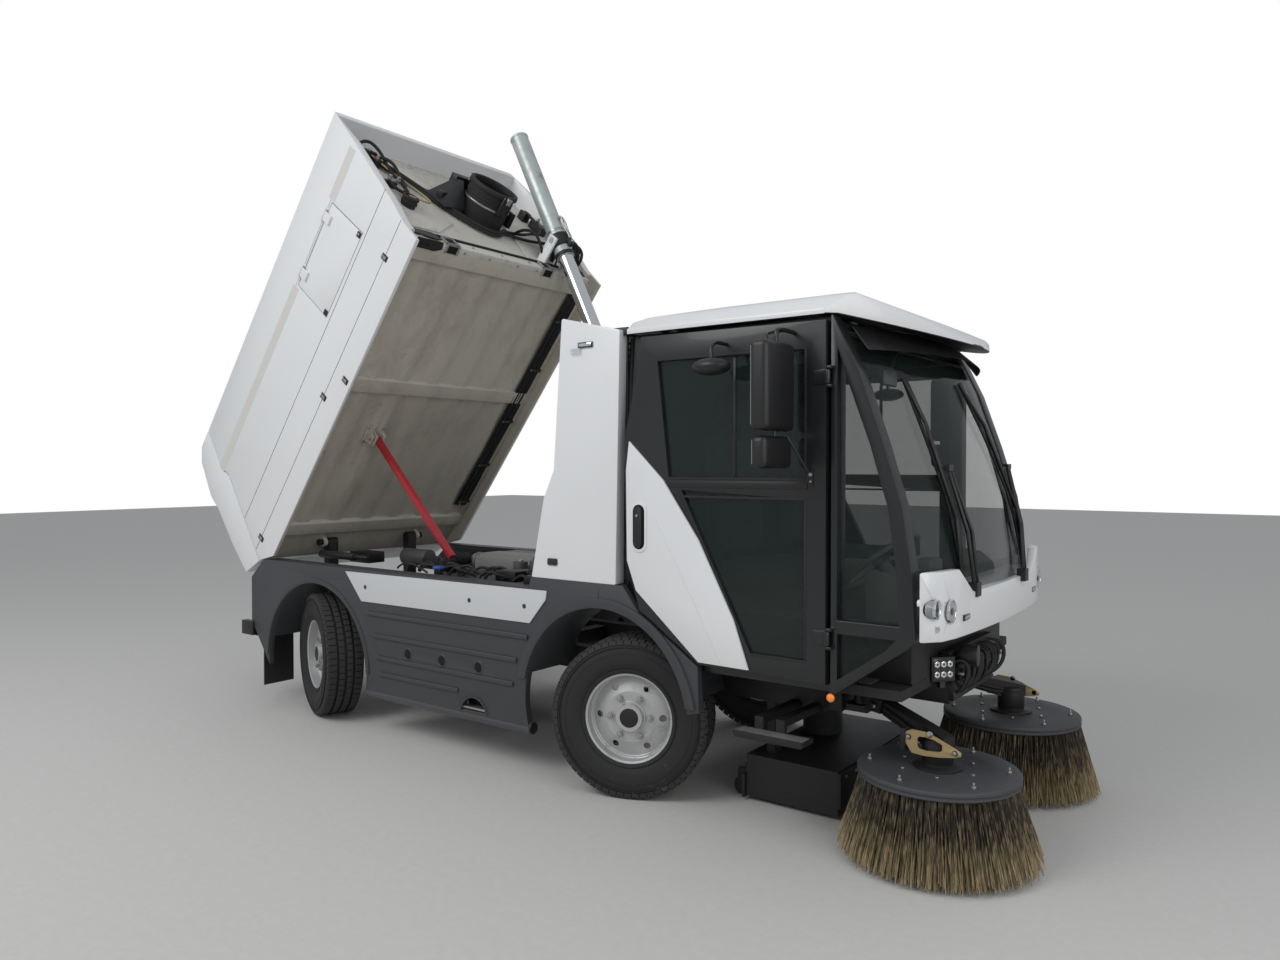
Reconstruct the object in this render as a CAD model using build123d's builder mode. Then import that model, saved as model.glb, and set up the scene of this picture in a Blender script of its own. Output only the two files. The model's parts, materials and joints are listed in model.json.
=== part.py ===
from build123d import *
import math
import os

# Compact street sweeper with its hopper tipped, in millimetres.
# X runs forward, Y to the machine's left and Z up from the ground.
# The origin lies on the ground under the middle of the machine's box as it stands.
# Points of an outline are (x from the front axle, z above the ground).

front_axle_x = 984.1
wheelbase = 2300.0
half_width = 800.0
running_fit = 0.05
moving_gap = 6.0

# Wheels and steering
wheel_r = 372.0
tyre_width = 225.0
rim_seat_r = 206.0
rim_flange_r = 220.0
rim_width = 190.0
rim_wall = 8.0
hub_r = 70.0
hand_hole_r = 16.0
hand_hole_pcr = 152.0
hand_hole_count = 6
kingpin_y = half_width - 200
wheel_offset = 88.0
kingpin_r = 16.0
spindle_r = 28.0
spindle_end = 150.0
boss_r = 32.0
boss_h = 136.0
knuckle_lug_t = 24.0
upright_t = 20.0
upright_at = 42.0
steer_rest = 21.0

# Chassis
rail_y0 = 300.0
rail_y1 = 370.0
rail_z0 = 450.0
rail_z1 = 570.0
rail_rear = -2950.0
rail_front = 860.0
cross_w = 80.0
cross_h = 80.0
cross_stations = (-2950.0, -2080.0, -1000.0, -380.0, 780.0)
outrigger_h = 70.0
outrigger_w = 60.0
outrigger_stations = (-2915.0, -1500.0, -820.0)
axle_half = 45.0
axle_end_y = 545.0
spring_pad = 60.0
diff_r = 105.0
step_outriggers = (700.0, 800.0)
step_in = 720.0
step_x0 = 640.0
step_x1 = 960.0
step_z = 405.0
step_t = 20.0

# Engine and its air housing
engine_top = 890.0
air_x0 = -1500.0
air_length = 440.0
air_top = 1004.0

# Side bodies
skin_t = 35.0
deck_t = 24.0
deck_y = half_width - 110
body_top = 929.0
hump_top = 985.0
hump_y = half_width - 200
liner_t = 14.0
liner_y = 490.0
sill_tube_r = 30.0
sill_z = 228.0
plate_t = 6.0
front_arch = (-70.0, 385.0, 485.0)
rear_arch = (-wheelbase - 18, 315.0, 500.0)
side_cut = (-925.0, 228.0, 100.0)
side_holes = (-1451.0, -1172.0, -892.0)
side_hole_z = 487.0
side_hole_r = 25.0
# Raised bands round the arches: width, thickness and lowest height
front_band = (48.0, 14.0, 480.0)
rear_band = (30.0, 8.0, 330.0)
# Pressed ribs of the side: x range and height
side_ribs = [(-1800, -540, 684), (-1745, -615, 561), (-1715, -640, 438), (-1690, -1045, 347)]
rib_t = 8.0
rib_h = 18.0
side_outline = [
    (-3017, 521), (-3017, 806), (-2875, body_top), (-535, body_top), (-515, hump_top),
    (55, hump_top), (140, 877), (463, 668), (470, 467), (-533, sill_z), (-1826, sill_z),
    (-2815, 258),
]
plate_outline = [(-2007, 912), (-409, 925), (-416, 880), (-522, 757), (-1856, 748)]

# Hopper, drawn lowered and then tipped about its rear pin
tip_angle = 52.0
pivot_x = -2818.0
pivot_z = 1015.0
pivot_r = 20.0
pivot_lug_r = 30.0
hopper_wall = 25.0
floor_z = 1050.0
roof_z = 2148.0
crease_z = 1765.0
roof_half = half_width - 60
front_flange = 55.0
front_wall_low = (-575.0, 1050.0)
front_wall_high = (-485.0, roof_z - 63)
seam_gap = 8.0
hopper_front = [(-545, 948), (-524, 1107), (-478, 1262), (-372, 1779), (-335, roof_z - 11)]
hopper_seam = [(-2732, roof_z), (-2765, 1762), (-2747, 1664), (-2962, 1045)]
hopper_rear_low = (-2834, 940)
gate_back = [(-3127, 1112), (-3089, 1341), (-3014, 1637), (-3011, 1720), (-2951, roof_z - 81), (-2880, roof_z)]
gate_hinge = (-2872.0, roof_z + 18)
gate_hinge_r = 8.0
gate_barrel_r = 15.0
floor_beam_w = 90.0
floor_beam_h = 38.0
floor_beams = (-640.0, -1550.0, -2690.0)
floor_ribs = (-600.0, -360.0, -120.0, 120.0, 360.0, 600.0)
floor_rib_h = 16.0
floor_rib_x0 = -2640.0
floor_rib_length = 1960.0
duct_y = 100.0
duct_z = 1540.0
duct_front = -300.0
duct_r = 150.0
duct_wall = 12.0
port_r = 45.0
hatch_box = (-1325.0, -750.0, 1380.0, 1750.0)
hatch_t = 22.0
hatch_hinge_r = 5.0
hatch_barrel_r = 9.0
hatch_hinges = (-1230.0, -845.0)
hatch_barrel_l = 60.0

# Lifting ram, its lower eye on the chassis and its trunnion on the hopper
ram_y = 430.0
ram_foot_x = -398.0
ram_foot_z = 900.0
trunnion_z = 1125.0
barrel_r = 60.0
stage_r = (50.0, 40.0, 31.0)
barrel_above = 843.0
barrel_below = 115.0
stage_step = 12.0
stage_overlap = 90.0
stage_gap = 10.0
trunnion_r = 18.0
trunnion_ear_in = 68.0
trunnion_ear_t = 18.0
eye_r = 28.0
eye_w = 40.0
eye_bore_r = 15.0

# Safety prop
prop_x = -1925.0
prop_y = -390.0
prop_z = 985.0
prop_length = 997.0
prop_w = 36.0
prop_pin_r = 10.0
prop_world_angle = -45.5

# Cab
cab_in = half_width - 85
cab_out = half_width - 45
pillar_out = half_width - 5
door_in = half_width - 39
door_out = half_width + 5
door_skin_t = 12.0
# Mirror blocks: x range, outer and inner reach from the door, z range
mirror_blocks = [
    (880, 965, 295, 55, 1665, 2010), (885, 955, 290, 60, 1521, 1650), (915, 935, 180, 160, 1600, 2070),
    (915, 935, 160, 0, 2050, 2070), (530, 710, 195, 75, 1915, 1978), (600, 620, 145, 125, 1978, 2046),
    (600, 620, 125, 0, 2030, 2046),
]
glass_t = 6.0
hinge_x = 1071.0
hinge_y = half_width + 12
hinge_pin_r = 6.0
hinge_barrel_r = 12.0
hinge_barrel_l = 56.0
hinge_heights = (860.0, 1880.0)
cab_outline = [
    (60, 930), (60, 1650), (95, 2125), (1082, 2122), (1195, 1889), (1287, 1627), (1365, 1375),
    (1400, 1137), (1414, 880), (1385, 850), (1095, 640), (455, 640), (140, 905),
]
door_hole = [
    (200, 2060), (1040, 2060), (1040, 705), (700, 705), (500, 712), (225, 892), (142, 1106),
    (136, 1640),
]
quarter_glass = [
    (1105, 1990), (1150, 1851), (1236, 1617), (1308, 1375), (1344, 1122), (1353, 932),
    (1105, 932),
]
lower_glass = [(1105, 880), (1340, 880), (1300, 835), (1105, 700)]
door_outline = [
    (161, 2109), (1062, 2104), (1062, 672), (722, 681), (476, 678), (155, 885), (81, 1106),
    (70, 1650), (161, 2051),
]
door_window = [(254, 2000), (975, 2000), (975, 1476), (314, 1484)]
door_low_window = [(382, 1428), (975, 1400), (975, 756), (727, 752)]
door_skin = [
    (104, 1645), (87, 1514), (92, 1106), (143, 973), (476, 692), (722, 690), (650, 890),
    (476, 1216), (292, 1471),
]
floor_outline = [
    (60, 930), (140, 930), (450, 672), (1335, 672), (1335, 632), (430, 632), (125, 888), (60, 888),
]
tower_outline = [
    (-314, 2237), (-367, 1513), (-433, 1376), (-514, hump_top), (14, hump_top), (38, 2154),
]
tower_in = half_width - 200
roof_side = [
    (80, 2128), (80, 2185), (250, 2235), (520, 2282), (800, 2290), (1060, 2250), (1290, 2140),
    (1405, 2062), (1400, 2050), (1090, 2128),
]
roof_section = [
    (-800, 2040), (-800, 2150), (-730, 2205), (-480, 2262), (0, 2295), (480, 2262),
    (730, 2205), (800, 2150), (800, 2040),
]
roof_t = 22.0
# Roof feet on the cab's two roof bars: x range, z range
roof_feet = [(100, 145, 2122, 2185), (1010, 1050, 2120, 2240)]
roof_foot_y = 500.0
nose_bottom = 876.0
nose_side_top = 1139.0
nose_mid_top = 1040.0
cowl_z = 1012.0
# Headlamps: x of the front face, y, z, radius
headlamps = [(1474, 728, 1000, 34), (1500, 640, 985, 42)]
# Windscreen sections: height, x at the pillars, x at the middle
screen_sections = [
    (1046, 1398, 1518), (1137, 1394, 1512), (1375, 1352, 1478), (1627, 1270, 1400),
    (1889, 1178, 1305), (2095, 1080, 1205),
]
screen_half = cab_in

# Wiper feet (y, x) and bends (x from the foot, z)
wiper_feet = [(-390, 1502), (240, 1526)]
wiper_bends = [(0, 1040), (-47, 1375), (-152, 1700)]
# Towing lugs: bore radius, plate thickness and half width
tow_bore_r = 16.0
tow_t = 20.0
tow_half = 40.0
tow_z = 480.0
tow_reach = 48.0
# Valve housing under the nose
housing_x0 = 1180.0
housing_x1 = 1380.0
housing_half = 300.0
housing_z0 = 545.0
housing_z1 = 626.0
housing_top = 760.0

# Sweeping gear
beam_x0 = 860.0
beam_x1 = 940.0
beam_half = 380.0
beam_z0 = 460.0
beam_z1 = 615.0
arm_pivot_x = 1000.0
arm_pivot_y = 300.0
arm_pin_r = 15.0
arm_barrel_r = 35.0
brush_x = 1410.0
brush_y = 520.0
lift_at = 150.0
lift_z = 520.0
lift_pin_r = 12.0
brush_disc_r = 310.0
brush_disc_z = 315.0
brush_disc_t = 35.0
bristle_r = 395.0
bristle_foot_w = 95.0
bristle_top_w = 70.0
bristle_z = 9.0
brush_shaft_r = 18.0
motor_r = 60.0
motor_top = 460.0
nozzle_x0 = 505.0
nozzle_x1 = 955.0
nozzle_half = 450.0
nozzle_z0 = 22.0
nozzle_z1 = 215.0
nozzle_wall = 12.0
roller_r = 42.0
roller_w = 60.0
roller_x = 455.0
roller_z = 45.0
roller_pin_r = 10.0
tube_r = 95.0
tube_wall = 8.0
tube_up_x = -165.0

os.makedirs("parts", exist_ok=True)


def station(x):
    """X in the model of a point given from the front axle."""
    return front_axle_x + x


def save(block, name):
    """Label a finished piece and write it."""
    block.part.label = name
    export_step(block.part, f"parts/{name}.step")


def side_face(points):
    """A face from (x from the front axle, z) points, on a sketch plane that looks along Y."""
    with BuildLine() as edge:
        Polyline(*[(station(x), z) for x, z in points], close=True)
    make_face(edge.line)


def plain_face(points):
    """A face from points in the sketch's own axes."""
    with BuildLine() as edge:
        Polyline(*points, close=True)
    make_face(edge.line)


def right(y):
    """Sketch plane on the machine's right side, y from its middle, facing outwards."""
    return Plane.XZ.offset(y)


def box_between(x0, x1, y0, y1, z0, z1, mode=Mode.ADD):
    """A box from its corners, x from the front axle."""
    with BuildSketch(Plane.XY.offset(z0)) as base:
        with Locations((station((x0 + x1) / 2), (y0 + y1) / 2)):
            Rectangle(x1 - x0, y1 - y0)
    extrude(base.sketch, amount=z1 - z0, mode=mode)


def mirrored_pair(block):
    """Both sides of a piece that was drawn on the right."""
    with BuildPart() as pair:
        add(block.part)
        mirror(block.part, about=Plane.XZ)
    return pair


# Chassis frame: two rails, cross members, outriggers and the hopper's hinge posts
with BuildPart() as chassis_frame:
    for side in (-1, 1):
        y0, y1 = sorted((side * rail_y0, side * rail_y1))
        box_between(rail_rear, rail_front, y0, y1, rail_z0, rail_z1)
        for x in outrigger_stations:
            o0, o1 = sorted((side * rail_y1, side * (half_width - skin_t)))
            box_between(x - outrigger_w / 2, x + outrigger_w / 2, o0, o1, rail_z0, rail_z0 + outrigger_h)
        with BuildSketch(right(side * rail_y1 if side > 0 else -rail_y0)):
            with Locations((station(pivot_x), (rail_z1 + pivot_z) / 2)):
                Rectangle(2 * pivot_lug_r, pivot_z - rail_z1)
            with Locations((station(pivot_x), pivot_z)):
                Circle(pivot_lug_r)
        extrude(amount=-(rail_y1 - rail_y0))
        with BuildSketch(right(side * (rail_y1 + 46) if side > 0 else -rail_y1)):
            with Locations((station(pivot_x), pivot_z)):
                Circle(pivot_r)
        extrude(amount=-46)
    for x in cross_stations:
        box_between(x, x + cross_w, -rail_y0, rail_y0, rail_z0 + 20, rail_z0 + 20 + cross_h)
    # Foot of the lifting ram: a post on the left rail with two ears beside the rod's eye
    box_between(ram_foot_x - 75, ram_foot_x + 5, rail_y1, ram_y + 50, rail_z0, 760)
    box_between(ram_foot_x - 55, ram_foot_x + 45, ram_y - 50, ram_y + 50, 760, 825)
    for y in (ram_y - 50, ram_y + 38):
        box_between(ram_foot_x - 55, ram_foot_x + 45, y, y + 12, 825, 945)
    # Rubber mounts that carry the cab's floor
    for x in (520, 800):
        for side in (-1, 1):
            y0, y1 = sorted((side * rail_y0, side * rail_y1))
            box_between(x, x + 50, y0, y1, rail_z1, 632)
    # Entry steps under the doors, each on two outriggers
    for side in (-1, 1):
        for x in step_outriggers:
            y0, y1 = sorted((side * rail_y1, side * step_in))
            box_between(x, x + 40, y0, y1, rail_z0, rail_z0 + 30)
            y0, y1 = sorted((side * (step_in - 20), side * step_in))
            box_between(x, x + 40, y0, y1, step_z, rail_z0)
        y0, y1 = sorted((side * (step_in - 20), side * (half_width - 2)))
        box_between(step_x0, step_x1, y0, y1, step_z, step_z + step_t)
save(chassis_frame, "chassis_frame")

# Side body, drawn on the right and mirrored: skin, decks, wheel arch liners and sill tube
with BuildPart() as side_body:
    with BuildSketch(right(half_width - skin_t)):
        side_face(side_outline)
        for x, z, r in (front_arch, rear_arch, side_cut):
            with Locations((station(x), z)):
                Circle(r, mode=Mode.SUBTRACT)
        for x in side_holes:
            with Locations((station(x), side_hole_z)):
                Circle(side_hole_r, mode=Mode.SUBTRACT)
    extrude(amount=skin_t)
    for x, z, r, band_w, band_t, cut_z in (front_arch + front_band, rear_arch + rear_band):
        with BuildSketch(right(half_width - 4)):
            with Locations((station(x), z)):
                Circle(r + band_w)
                Circle(r + 2, mode=Mode.SUBTRACT)
            with Locations((station(x), cut_z - 500)):
                Rectangle(3 * r, 1000, mode=Mode.SUBTRACT)
        extrude(amount=band_t + 4)
    box_between(-2875, -535, -half_width + skin_t, -deck_y, body_top - deck_t, body_top)
    box_between(-535, 45, -half_width + skin_t, -hump_y, hump_top - deck_t, hump_top)
    for x, z, r in (front_arch, rear_arch):
        with BuildSketch(right(liner_y)):
            with Locations((station(x), z)):
                Circle(r + liner_t)
                Circle(r, mode=Mode.SUBTRACT)
            with Locations((station(x), z - r)):
                Rectangle(3 * r, 2 * r + 240, mode=Mode.SUBTRACT)
        extrude(amount=half_width - skin_t - liner_y)
    for x0, x1, z in side_ribs:
        box_between(x0, x1, -half_width - rib_t, -half_width, z - rib_h / 2, z + rib_h / 2)
    with BuildSketch(Plane.YZ.offset(station(-1826))):
        with Locations((-(half_width - sill_tube_r), sill_z)):
            Circle(sill_tube_r)
    extrude(amount=-533 + 1826)
side_bodies = mirrored_pair(side_body)
save(side_bodies, "side_bodies")

with BuildPart() as side_plate:
    with BuildSketch(right(half_width)):
        side_face(plate_outline)
    extrude(amount=plate_t)
side_plates = mirrored_pair(side_plate)
save(side_plates, "side_plates")

# Rear bumper with its mud flaps
with BuildPart() as rear_bumper:
    box_between(-3079, -2950, -half_width + 38, half_width - 38, 412, 522)
    for side in (-1, 1):
        y0, y1 = sorted((side * 530, side * 745))
        box_between(-2975, -2965, y0, y1, 90, 412)
    box_between(-3079 - 60, -3079, -tow_half, tow_half, tow_z, tow_z + tow_t)
    with BuildSketch(Plane.XY.offset(tow_z)):
        with Locations((station(-3079 - 30), 0)):
            Circle(tow_bore_r)
    extrude(amount=tow_t, mode=Mode.SUBTRACT)
save(rear_bumper, "rear_bumper")

# Engine as one plain block with its feet on the rails
with BuildPart() as engine:
    box_between(-1780, -1080, -250, 250, 400, engine_top)
    for x in (-1700, -1220):
        box_between(x, x + 80, -rail_y0, rail_y0, 500, 545)
save(engine, "engine")

# Air cleaner housing beside the engine
with BuildPart() as air_duct:
    box_between(-1010, -560, -360, -80, 780, 935)
    box_between(-960, -900, -360, -rail_y0, rail_z1, 780)
    box_between(-700, -640, -360, -rail_y0, rail_z1, 780)
    with BuildSketch(Plane.YZ.offset(station(air_x0))):
        plain_face([(-250, engine_top), (-250, air_top - 50), (-200, air_top), (-50, air_top),
                    (0, air_top - 50), (0, engine_top)])
    extrude(amount=air_length)
save(air_duct, "air_duct")

with BuildPart() as tower:
    with BuildSketch(right(tower_in)):
        side_face(tower_outline)
    extrude(amount=half_width - tower_in)
towers = mirrored_pair(tower)
save(towers, "towers")

# Cooling pack across the back of the cab, between the towers
with BuildPart() as cooling_pack:
    box_between(-50, 40, -tower_in, tower_in, 905, 2150)
    for side in (-1, 1):
        y0, y1 = sorted((side * rail_y0, side * rail_y1))
        box_between(-50, 0, y0, y1, rail_z1, 905)
save(cooling_pack, "cooling_pack")

# Cab floor with the wheel box step, and the cab's back wall
with BuildPart() as cab_floor:
    with BuildSketch(right(-cab_in)):
        side_face(floor_outline)
    extrude(amount=2 * cab_in)
    box_between(60, 85, -cab_in, cab_in, 930, 2100)
save(cab_floor, "cab_floor")

# Cab frame: two side frames, pillars, roof bars and the door hinges' pins
with BuildPart() as cab_side:
    with BuildSketch(right(cab_in)):
        side_face(cab_outline)
    extrude(amount=cab_out - cab_in)
    with BuildSketch(right(cab_out)):
        side_face(cab_outline)
        with Locations((station(hinge_x + 7 - 1000), 1400)):
            Rectangle(2000, 2000, mode=Mode.SUBTRACT)
    extrude(amount=pillar_out - cab_out)
    for points in (door_hole, quarter_glass, lower_glass):
        with BuildSketch(right(cab_in)):
            side_face(points)
        extrude(amount=pillar_out - cab_in, mode=Mode.SUBTRACT)
    for z in hinge_heights:
        with BuildSketch(Plane.XY.offset(z - hinge_barrel_l / 2 - 14)):
            with Locations((station(hinge_x), -hinge_y)):
                Circle(hinge_pin_r)
        extrude(amount=hinge_barrel_l + 28)
        for z0 in (z - hinge_barrel_l / 2 - 14, z + hinge_barrel_l / 2 + 2):
            box_between(hinge_x - 2, hinge_x + 22, -hinge_y - 10, -pillar_out, z0, z0 + 12)
with BuildPart() as cab_frame:
    add(cab_side.part)
    mirror(cab_side.part, about=Plane.XZ)
    box_between(95, 150, -cab_in, cab_in, 2085, 2122)
    box_between(1005, 1055, -cab_in, cab_in, 2085, 2120)
    box_between(1340, 1380, -cab_in, cab_in, 860, 920)
save(cab_frame, "cab_frame")

# Roof cap: a crowned shell whose brow overhangs the windscreen
with BuildPart() as roof_void:
    with BuildSketch(right(-half_width)):
        side_face([(x if x > 80 else x + roof_t, z - roof_t) for x, z in roof_side])
    extrude(amount=2 * half_width)
    with BuildSketch(Plane.YZ.offset(station(0))):
        plain_face([(y * (half_width - roof_t) / half_width, z - roof_t) for y, z in roof_section])
    extrude(amount=1500, mode=Mode.INTERSECT)
    with BuildSketch(Plane.XY.offset(1900)):
        with Locations((station(545), 0)):
            Rectangle(930, 2 * (half_width - roof_t))
    extrude(amount=600, mode=Mode.INTERSECT)
with BuildPart() as cab_roof:
    with BuildSketch(right(-half_width)):
        side_face(roof_side)
    extrude(amount=2 * half_width)
    with BuildSketch(Plane.YZ.offset(station(0))):
        plain_face(roof_section)
    extrude(amount=1500, mode=Mode.INTERSECT)
    with BuildSketch(Plane.XY.offset(1900)):
        with BuildLine():
            Polyline((station(1050), -half_width), (station(0), -half_width), (station(0), half_width),
                     (station(1050), half_width))
            ThreePointArc((station(1050), half_width), (station(1405), 0), (station(1050), -half_width))
        make_face()
    extrude(amount=600, mode=Mode.INTERSECT)
    add(roof_void.part, mode=Mode.SUBTRACT)
    for x0, x1, z0, z1 in roof_feet:
        for y in (-roof_foot_y, roof_foot_y):
            box_between(x0, x1, y - 30, y + 30, z0, z1)
save(cab_roof, "cab_roof")

# Nose panel under the windscreen
with BuildPart() as nose:
    with BuildSketch(Plane.XY.offset(nose_bottom)):
        with BuildLine():
            Polyline((station(1505), -600), (station(1485), -700), (station(1405), -half_width),
                     (station(1345), -half_width), (station(1345), half_width),
                     (station(1405), half_width), (station(1485), 700), (station(1505), 600))
            ThreePointArc((station(1505), 600), (station(1532), 0), (station(1505), -600))
        make_face()
    extrude(amount=nose_side_top - nose_bottom)
    with BuildSketch(Plane.YZ.offset(station(1300))):
        plain_face([(-half_width, nose_side_top), (-570, nose_side_top), (-430, nose_mid_top),
                    (430, nose_mid_top), (570, nose_side_top), (half_width, nose_side_top),
                    (half_width, nose_bottom), (-half_width, nose_bottom)])
    extrude(amount=400, mode=Mode.INTERSECT)
    for z0, z1 in ((nose_bottom, cowl_z), (nose_mid_top, nose_side_top)):
        with BuildSketch(Plane.XY.offset(z0)):
            with BuildLine():
                Polyline((station(1417), -half_width - 1), (station(1200), -half_width - 1),
                         (station(1200), half_width + 1), (station(1417), half_width + 1))
                ThreePointArc((station(1417), half_width + 1), (station(1524), 0),
                              (station(1417), -half_width - 1))
            make_face()
        extrude(amount=z1 - z0, mode=Mode.SUBTRACT)
    for side in (-1, 1):
        y0, y1 = sorted((side * cab_in, side * (half_width + 1)))
        box_between(1200, 1417, y0, y1, cowl_z, nose_mid_top, mode=Mode.SUBTRACT)
    box_between(1380, 1470, -cab_in, cab_in, 880, 905)
    for x, y, z, r in headlamps:
        for side in (-1, 1):
            with BuildSketch(Plane.YZ.offset(station(x - 60))):
                with Locations((side * y, z)):
                    Circle(r)
            extrude(amount=120, mode=Mode.SUBTRACT)
save(nose, "nose")

# Glass of the cab: the curved windscreen, the quarter panes and the low panes
with BuildPart() as side_panes:
    for points in (quarter_glass, lower_glass):
        with BuildSketch(right(cab_out + 10)):
            side_face(points)
        extrude(amount=glass_t)
with BuildPart() as cab_glass:
    for z, x_side, x_mid in screen_sections:
        with BuildSketch(Plane.XY.offset(z)):
            with BuildLine():
                ThreePointArc((station(x_side), -screen_half), (station(x_mid), 0), (station(x_side), screen_half))
                Line((station(x_side), screen_half), (station(x_side - glass_t), screen_half))
                ThreePointArc((station(x_side - glass_t), screen_half), (station(x_mid - glass_t), 0),
                              (station(x_side - glass_t), -screen_half))
                Line((station(x_side - glass_t), -screen_half), (station(x_side), -screen_half))
            make_face()
    loft(ruled=True)
    add(side_panes.part)
    mirror(side_panes.part, about=Plane.XZ)
save(cab_glass, "cab_glass")

# Dashboard with the steering column and wheel
with BuildPart() as dashboard:
    box_between(1150, 1335, -600, 600, 672, 1020)
    column = Plane(origin=(station(1090), -300, 1110), x_dir=(0, 1, 0), z_dir=(-0.64, 0, 0.77))
    with BuildSketch(column.offset(-200)):
        Circle(28)
    extrude(amount=200)
    with BuildSketch(column):
        Circle(200)
        Circle(178, mode=Mode.SUBTRACT)
        with PolarLocations(0, 3):
            with Locations((95, 0)):
                Rectangle(190, 26)
        Circle(40)
    extrude(amount=22)
save(dashboard, "dashboard")

# Seats on their bases
with BuildPart() as seat:
    box_between(420, 860, -590, -130, 1010, 1120)
    box_between(330, 450, -570, -150, 1080, 1700)
    box_between(350, 430, -470, -250, 1700, 1880)
    box_between(480, 820, -540, -180, 672, 1010)
seats = mirrored_pair(seat)
save(seats, "seats")

# Wipers: two rods side by side on a foot, bent to follow the glass
with BuildPart() as wipers:
    for y, x in wiper_feet:
        for shift in (-24, 12):
            with BuildSketch(right(-(y + shift))):
                side_face([(x + dx, z) for dx, z in wiper_bends]
                          + [(x + dx + 9, z) for dx, z in reversed(wiper_bends)])
            extrude(amount=-12)
        box_between(x - 4, x + 14, y - 35, y + 35, nose_mid_top, nose_mid_top + 42)
        x_end, z_end = x + wiper_bends[-1][0], wiper_bends[-1][1]
        box_between(x_end, x_end + 16, y - 30, y + 30, z_end - 24, z_end)
save(wipers, "wipers")

# Lamps: twin headlamps, marker lamps on the towers and nose, and the tail lamps
with BuildPart() as lamp_side:
    for x, y, z, r in headlamps:
        with BuildSketch(Plane.YZ.offset(station(x - 34))):
            with Locations((-y, z)):
                Circle(r)
        extrude(amount=34)
    box_between(-250, -190, -half_width - 14, -half_width, 2060, 2085)
    box_between(-3091, -3079, -760, -560, 430, 505)
lamps = mirrored_pair(lamp_side)
save(lamps, "lamps")


def wheel_frame(axle_x, side, steer):
    """Kingpin point, outward axis, section plane (radius, outward) and face plane of a wheel."""
    turn = math.radians(steer)
    forward = Vector(math.cos(turn), math.sin(turn), 0) * (-side)
    outward = Vector(math.sin(turn), -math.cos(turn), 0) * (-side)
    pin = Vector(station(axle_x), side * kingpin_y, wheel_r)
    section = Plane(origin=pin, x_dir=(0, 0, 1), z_dir=forward)
    face = Plane(origin=pin, x_dir=forward, z_dir=outward)
    return pin, outward, section, face


# Axles with their bosses for the kingpins
with BuildPart() as axles:
    for axle_x in (0, -wheelbase):
        box_between(axle_x - axle_half, axle_x + axle_half, -axle_end_y, axle_end_y,
                    wheel_r - axle_half, wheel_r + axle_half)
        for side in (-1, 1):
            y0, y1 = sorted((side * axle_end_y, side * kingpin_y))
            box_between(axle_x - axle_half / 2, axle_x + axle_half / 2, y0, y1,
                        wheel_r - axle_half, wheel_r + axle_half)
            y0, y1 = sorted((side * rail_y0, side * rail_y1))
            box_between(axle_x - spring_pad, axle_x + spring_pad, y0, y1, wheel_r, rail_z0)
        for side in (-1, 1):
            with BuildSketch(Plane.XY.offset(wheel_r - boss_h / 2)):
                with Locations((station(axle_x), side * kingpin_y)):
                    Circle(boss_r)
            extrude(amount=boss_h)
        for side in (-1, 1):
            with BuildSketch(Plane.XY.offset(wheel_r - boss_h / 2)):
                with Locations((station(axle_x), side * kingpin_y)):
                    Circle(kingpin_r + running_fit)
            extrude(amount=boss_h, mode=Mode.SUBTRACT)
    with BuildSketch(right(-120)):
        with Locations((station(-wheelbase), wheel_r)):
            Circle(diff_r)
    extrude(amount=240)
save(axles, "axles")

# Knuckles, rims and tyres, one set a wheel
wheel_table = [
    ("front_right", 0, -1, steer_rest),
    ("front_left", 0, 1, steer_rest),
    ("rear_right", -wheelbase, -1, -steer_rest),
    ("rear_left", -wheelbase, 1, -steer_rest),
]
lug_z0 = boss_h / 2 + moving_gap
knuckle_half = lug_z0 + knuckle_lug_t
rim_in = wheel_offset - rim_width / 2
rim_out = wheel_offset + rim_width / 2
tyre_in = wheel_offset - tyre_width / 2
tyre_out = wheel_offset + tyre_width / 2
inner_seat = rim_seat_r - rim_wall
rim_profile = [
    (rim_flange_r, rim_in), (rim_flange_r, rim_in + 6), (rim_seat_r, rim_in + 11),
    (rim_seat_r, rim_in + 67), (rim_seat_r - 16, rim_in + 82), (rim_seat_r - 16, rim_out - 73),
    (rim_seat_r, rim_out - 61), (rim_seat_r, rim_out - 11), (rim_flange_r, rim_out - 6),
    (rim_flange_r, rim_out), (rim_flange_r - rim_wall, rim_out), (inner_seat, rim_out - 6),
    (inner_seat, rim_out - 55), (inner_seat - 16, rim_out - 67), (inner_seat - 16, rim_in + 77),
    (inner_seat, rim_in + 62), (inner_seat, rim_in + 6), (rim_flange_r - rim_wall, rim_in),
]
disc_profile = [
    (spindle_r + running_fit, 100), (hub_r, 100), (hub_r, 136), (115, 136), (188, 108), (188, 118),
    (118, 146), (hub_r - 2, 146), (hub_r - 8, 172), (0, 172), (0, spindle_end + 4),
    (spindle_r + running_fit, spindle_end + 4),
]
tyre_profile = [
    (rim_seat_r, rim_in + 13), (rim_flange_r + 3, rim_in + 7), (262, tyre_in + 4), (310, tyre_in),
    (350, tyre_in + 10), (wheel_r - 4, tyre_in + 32), (wheel_r, tyre_in + 50),
    (wheel_r, tyre_out - 50), (wheel_r - 4, tyre_out - 32), (350, tyre_out - 10), (310, tyre_out),
    (262, tyre_out - 4), (rim_flange_r + 3, rim_out - 7), (rim_seat_r, rim_out - 13),
]
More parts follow.
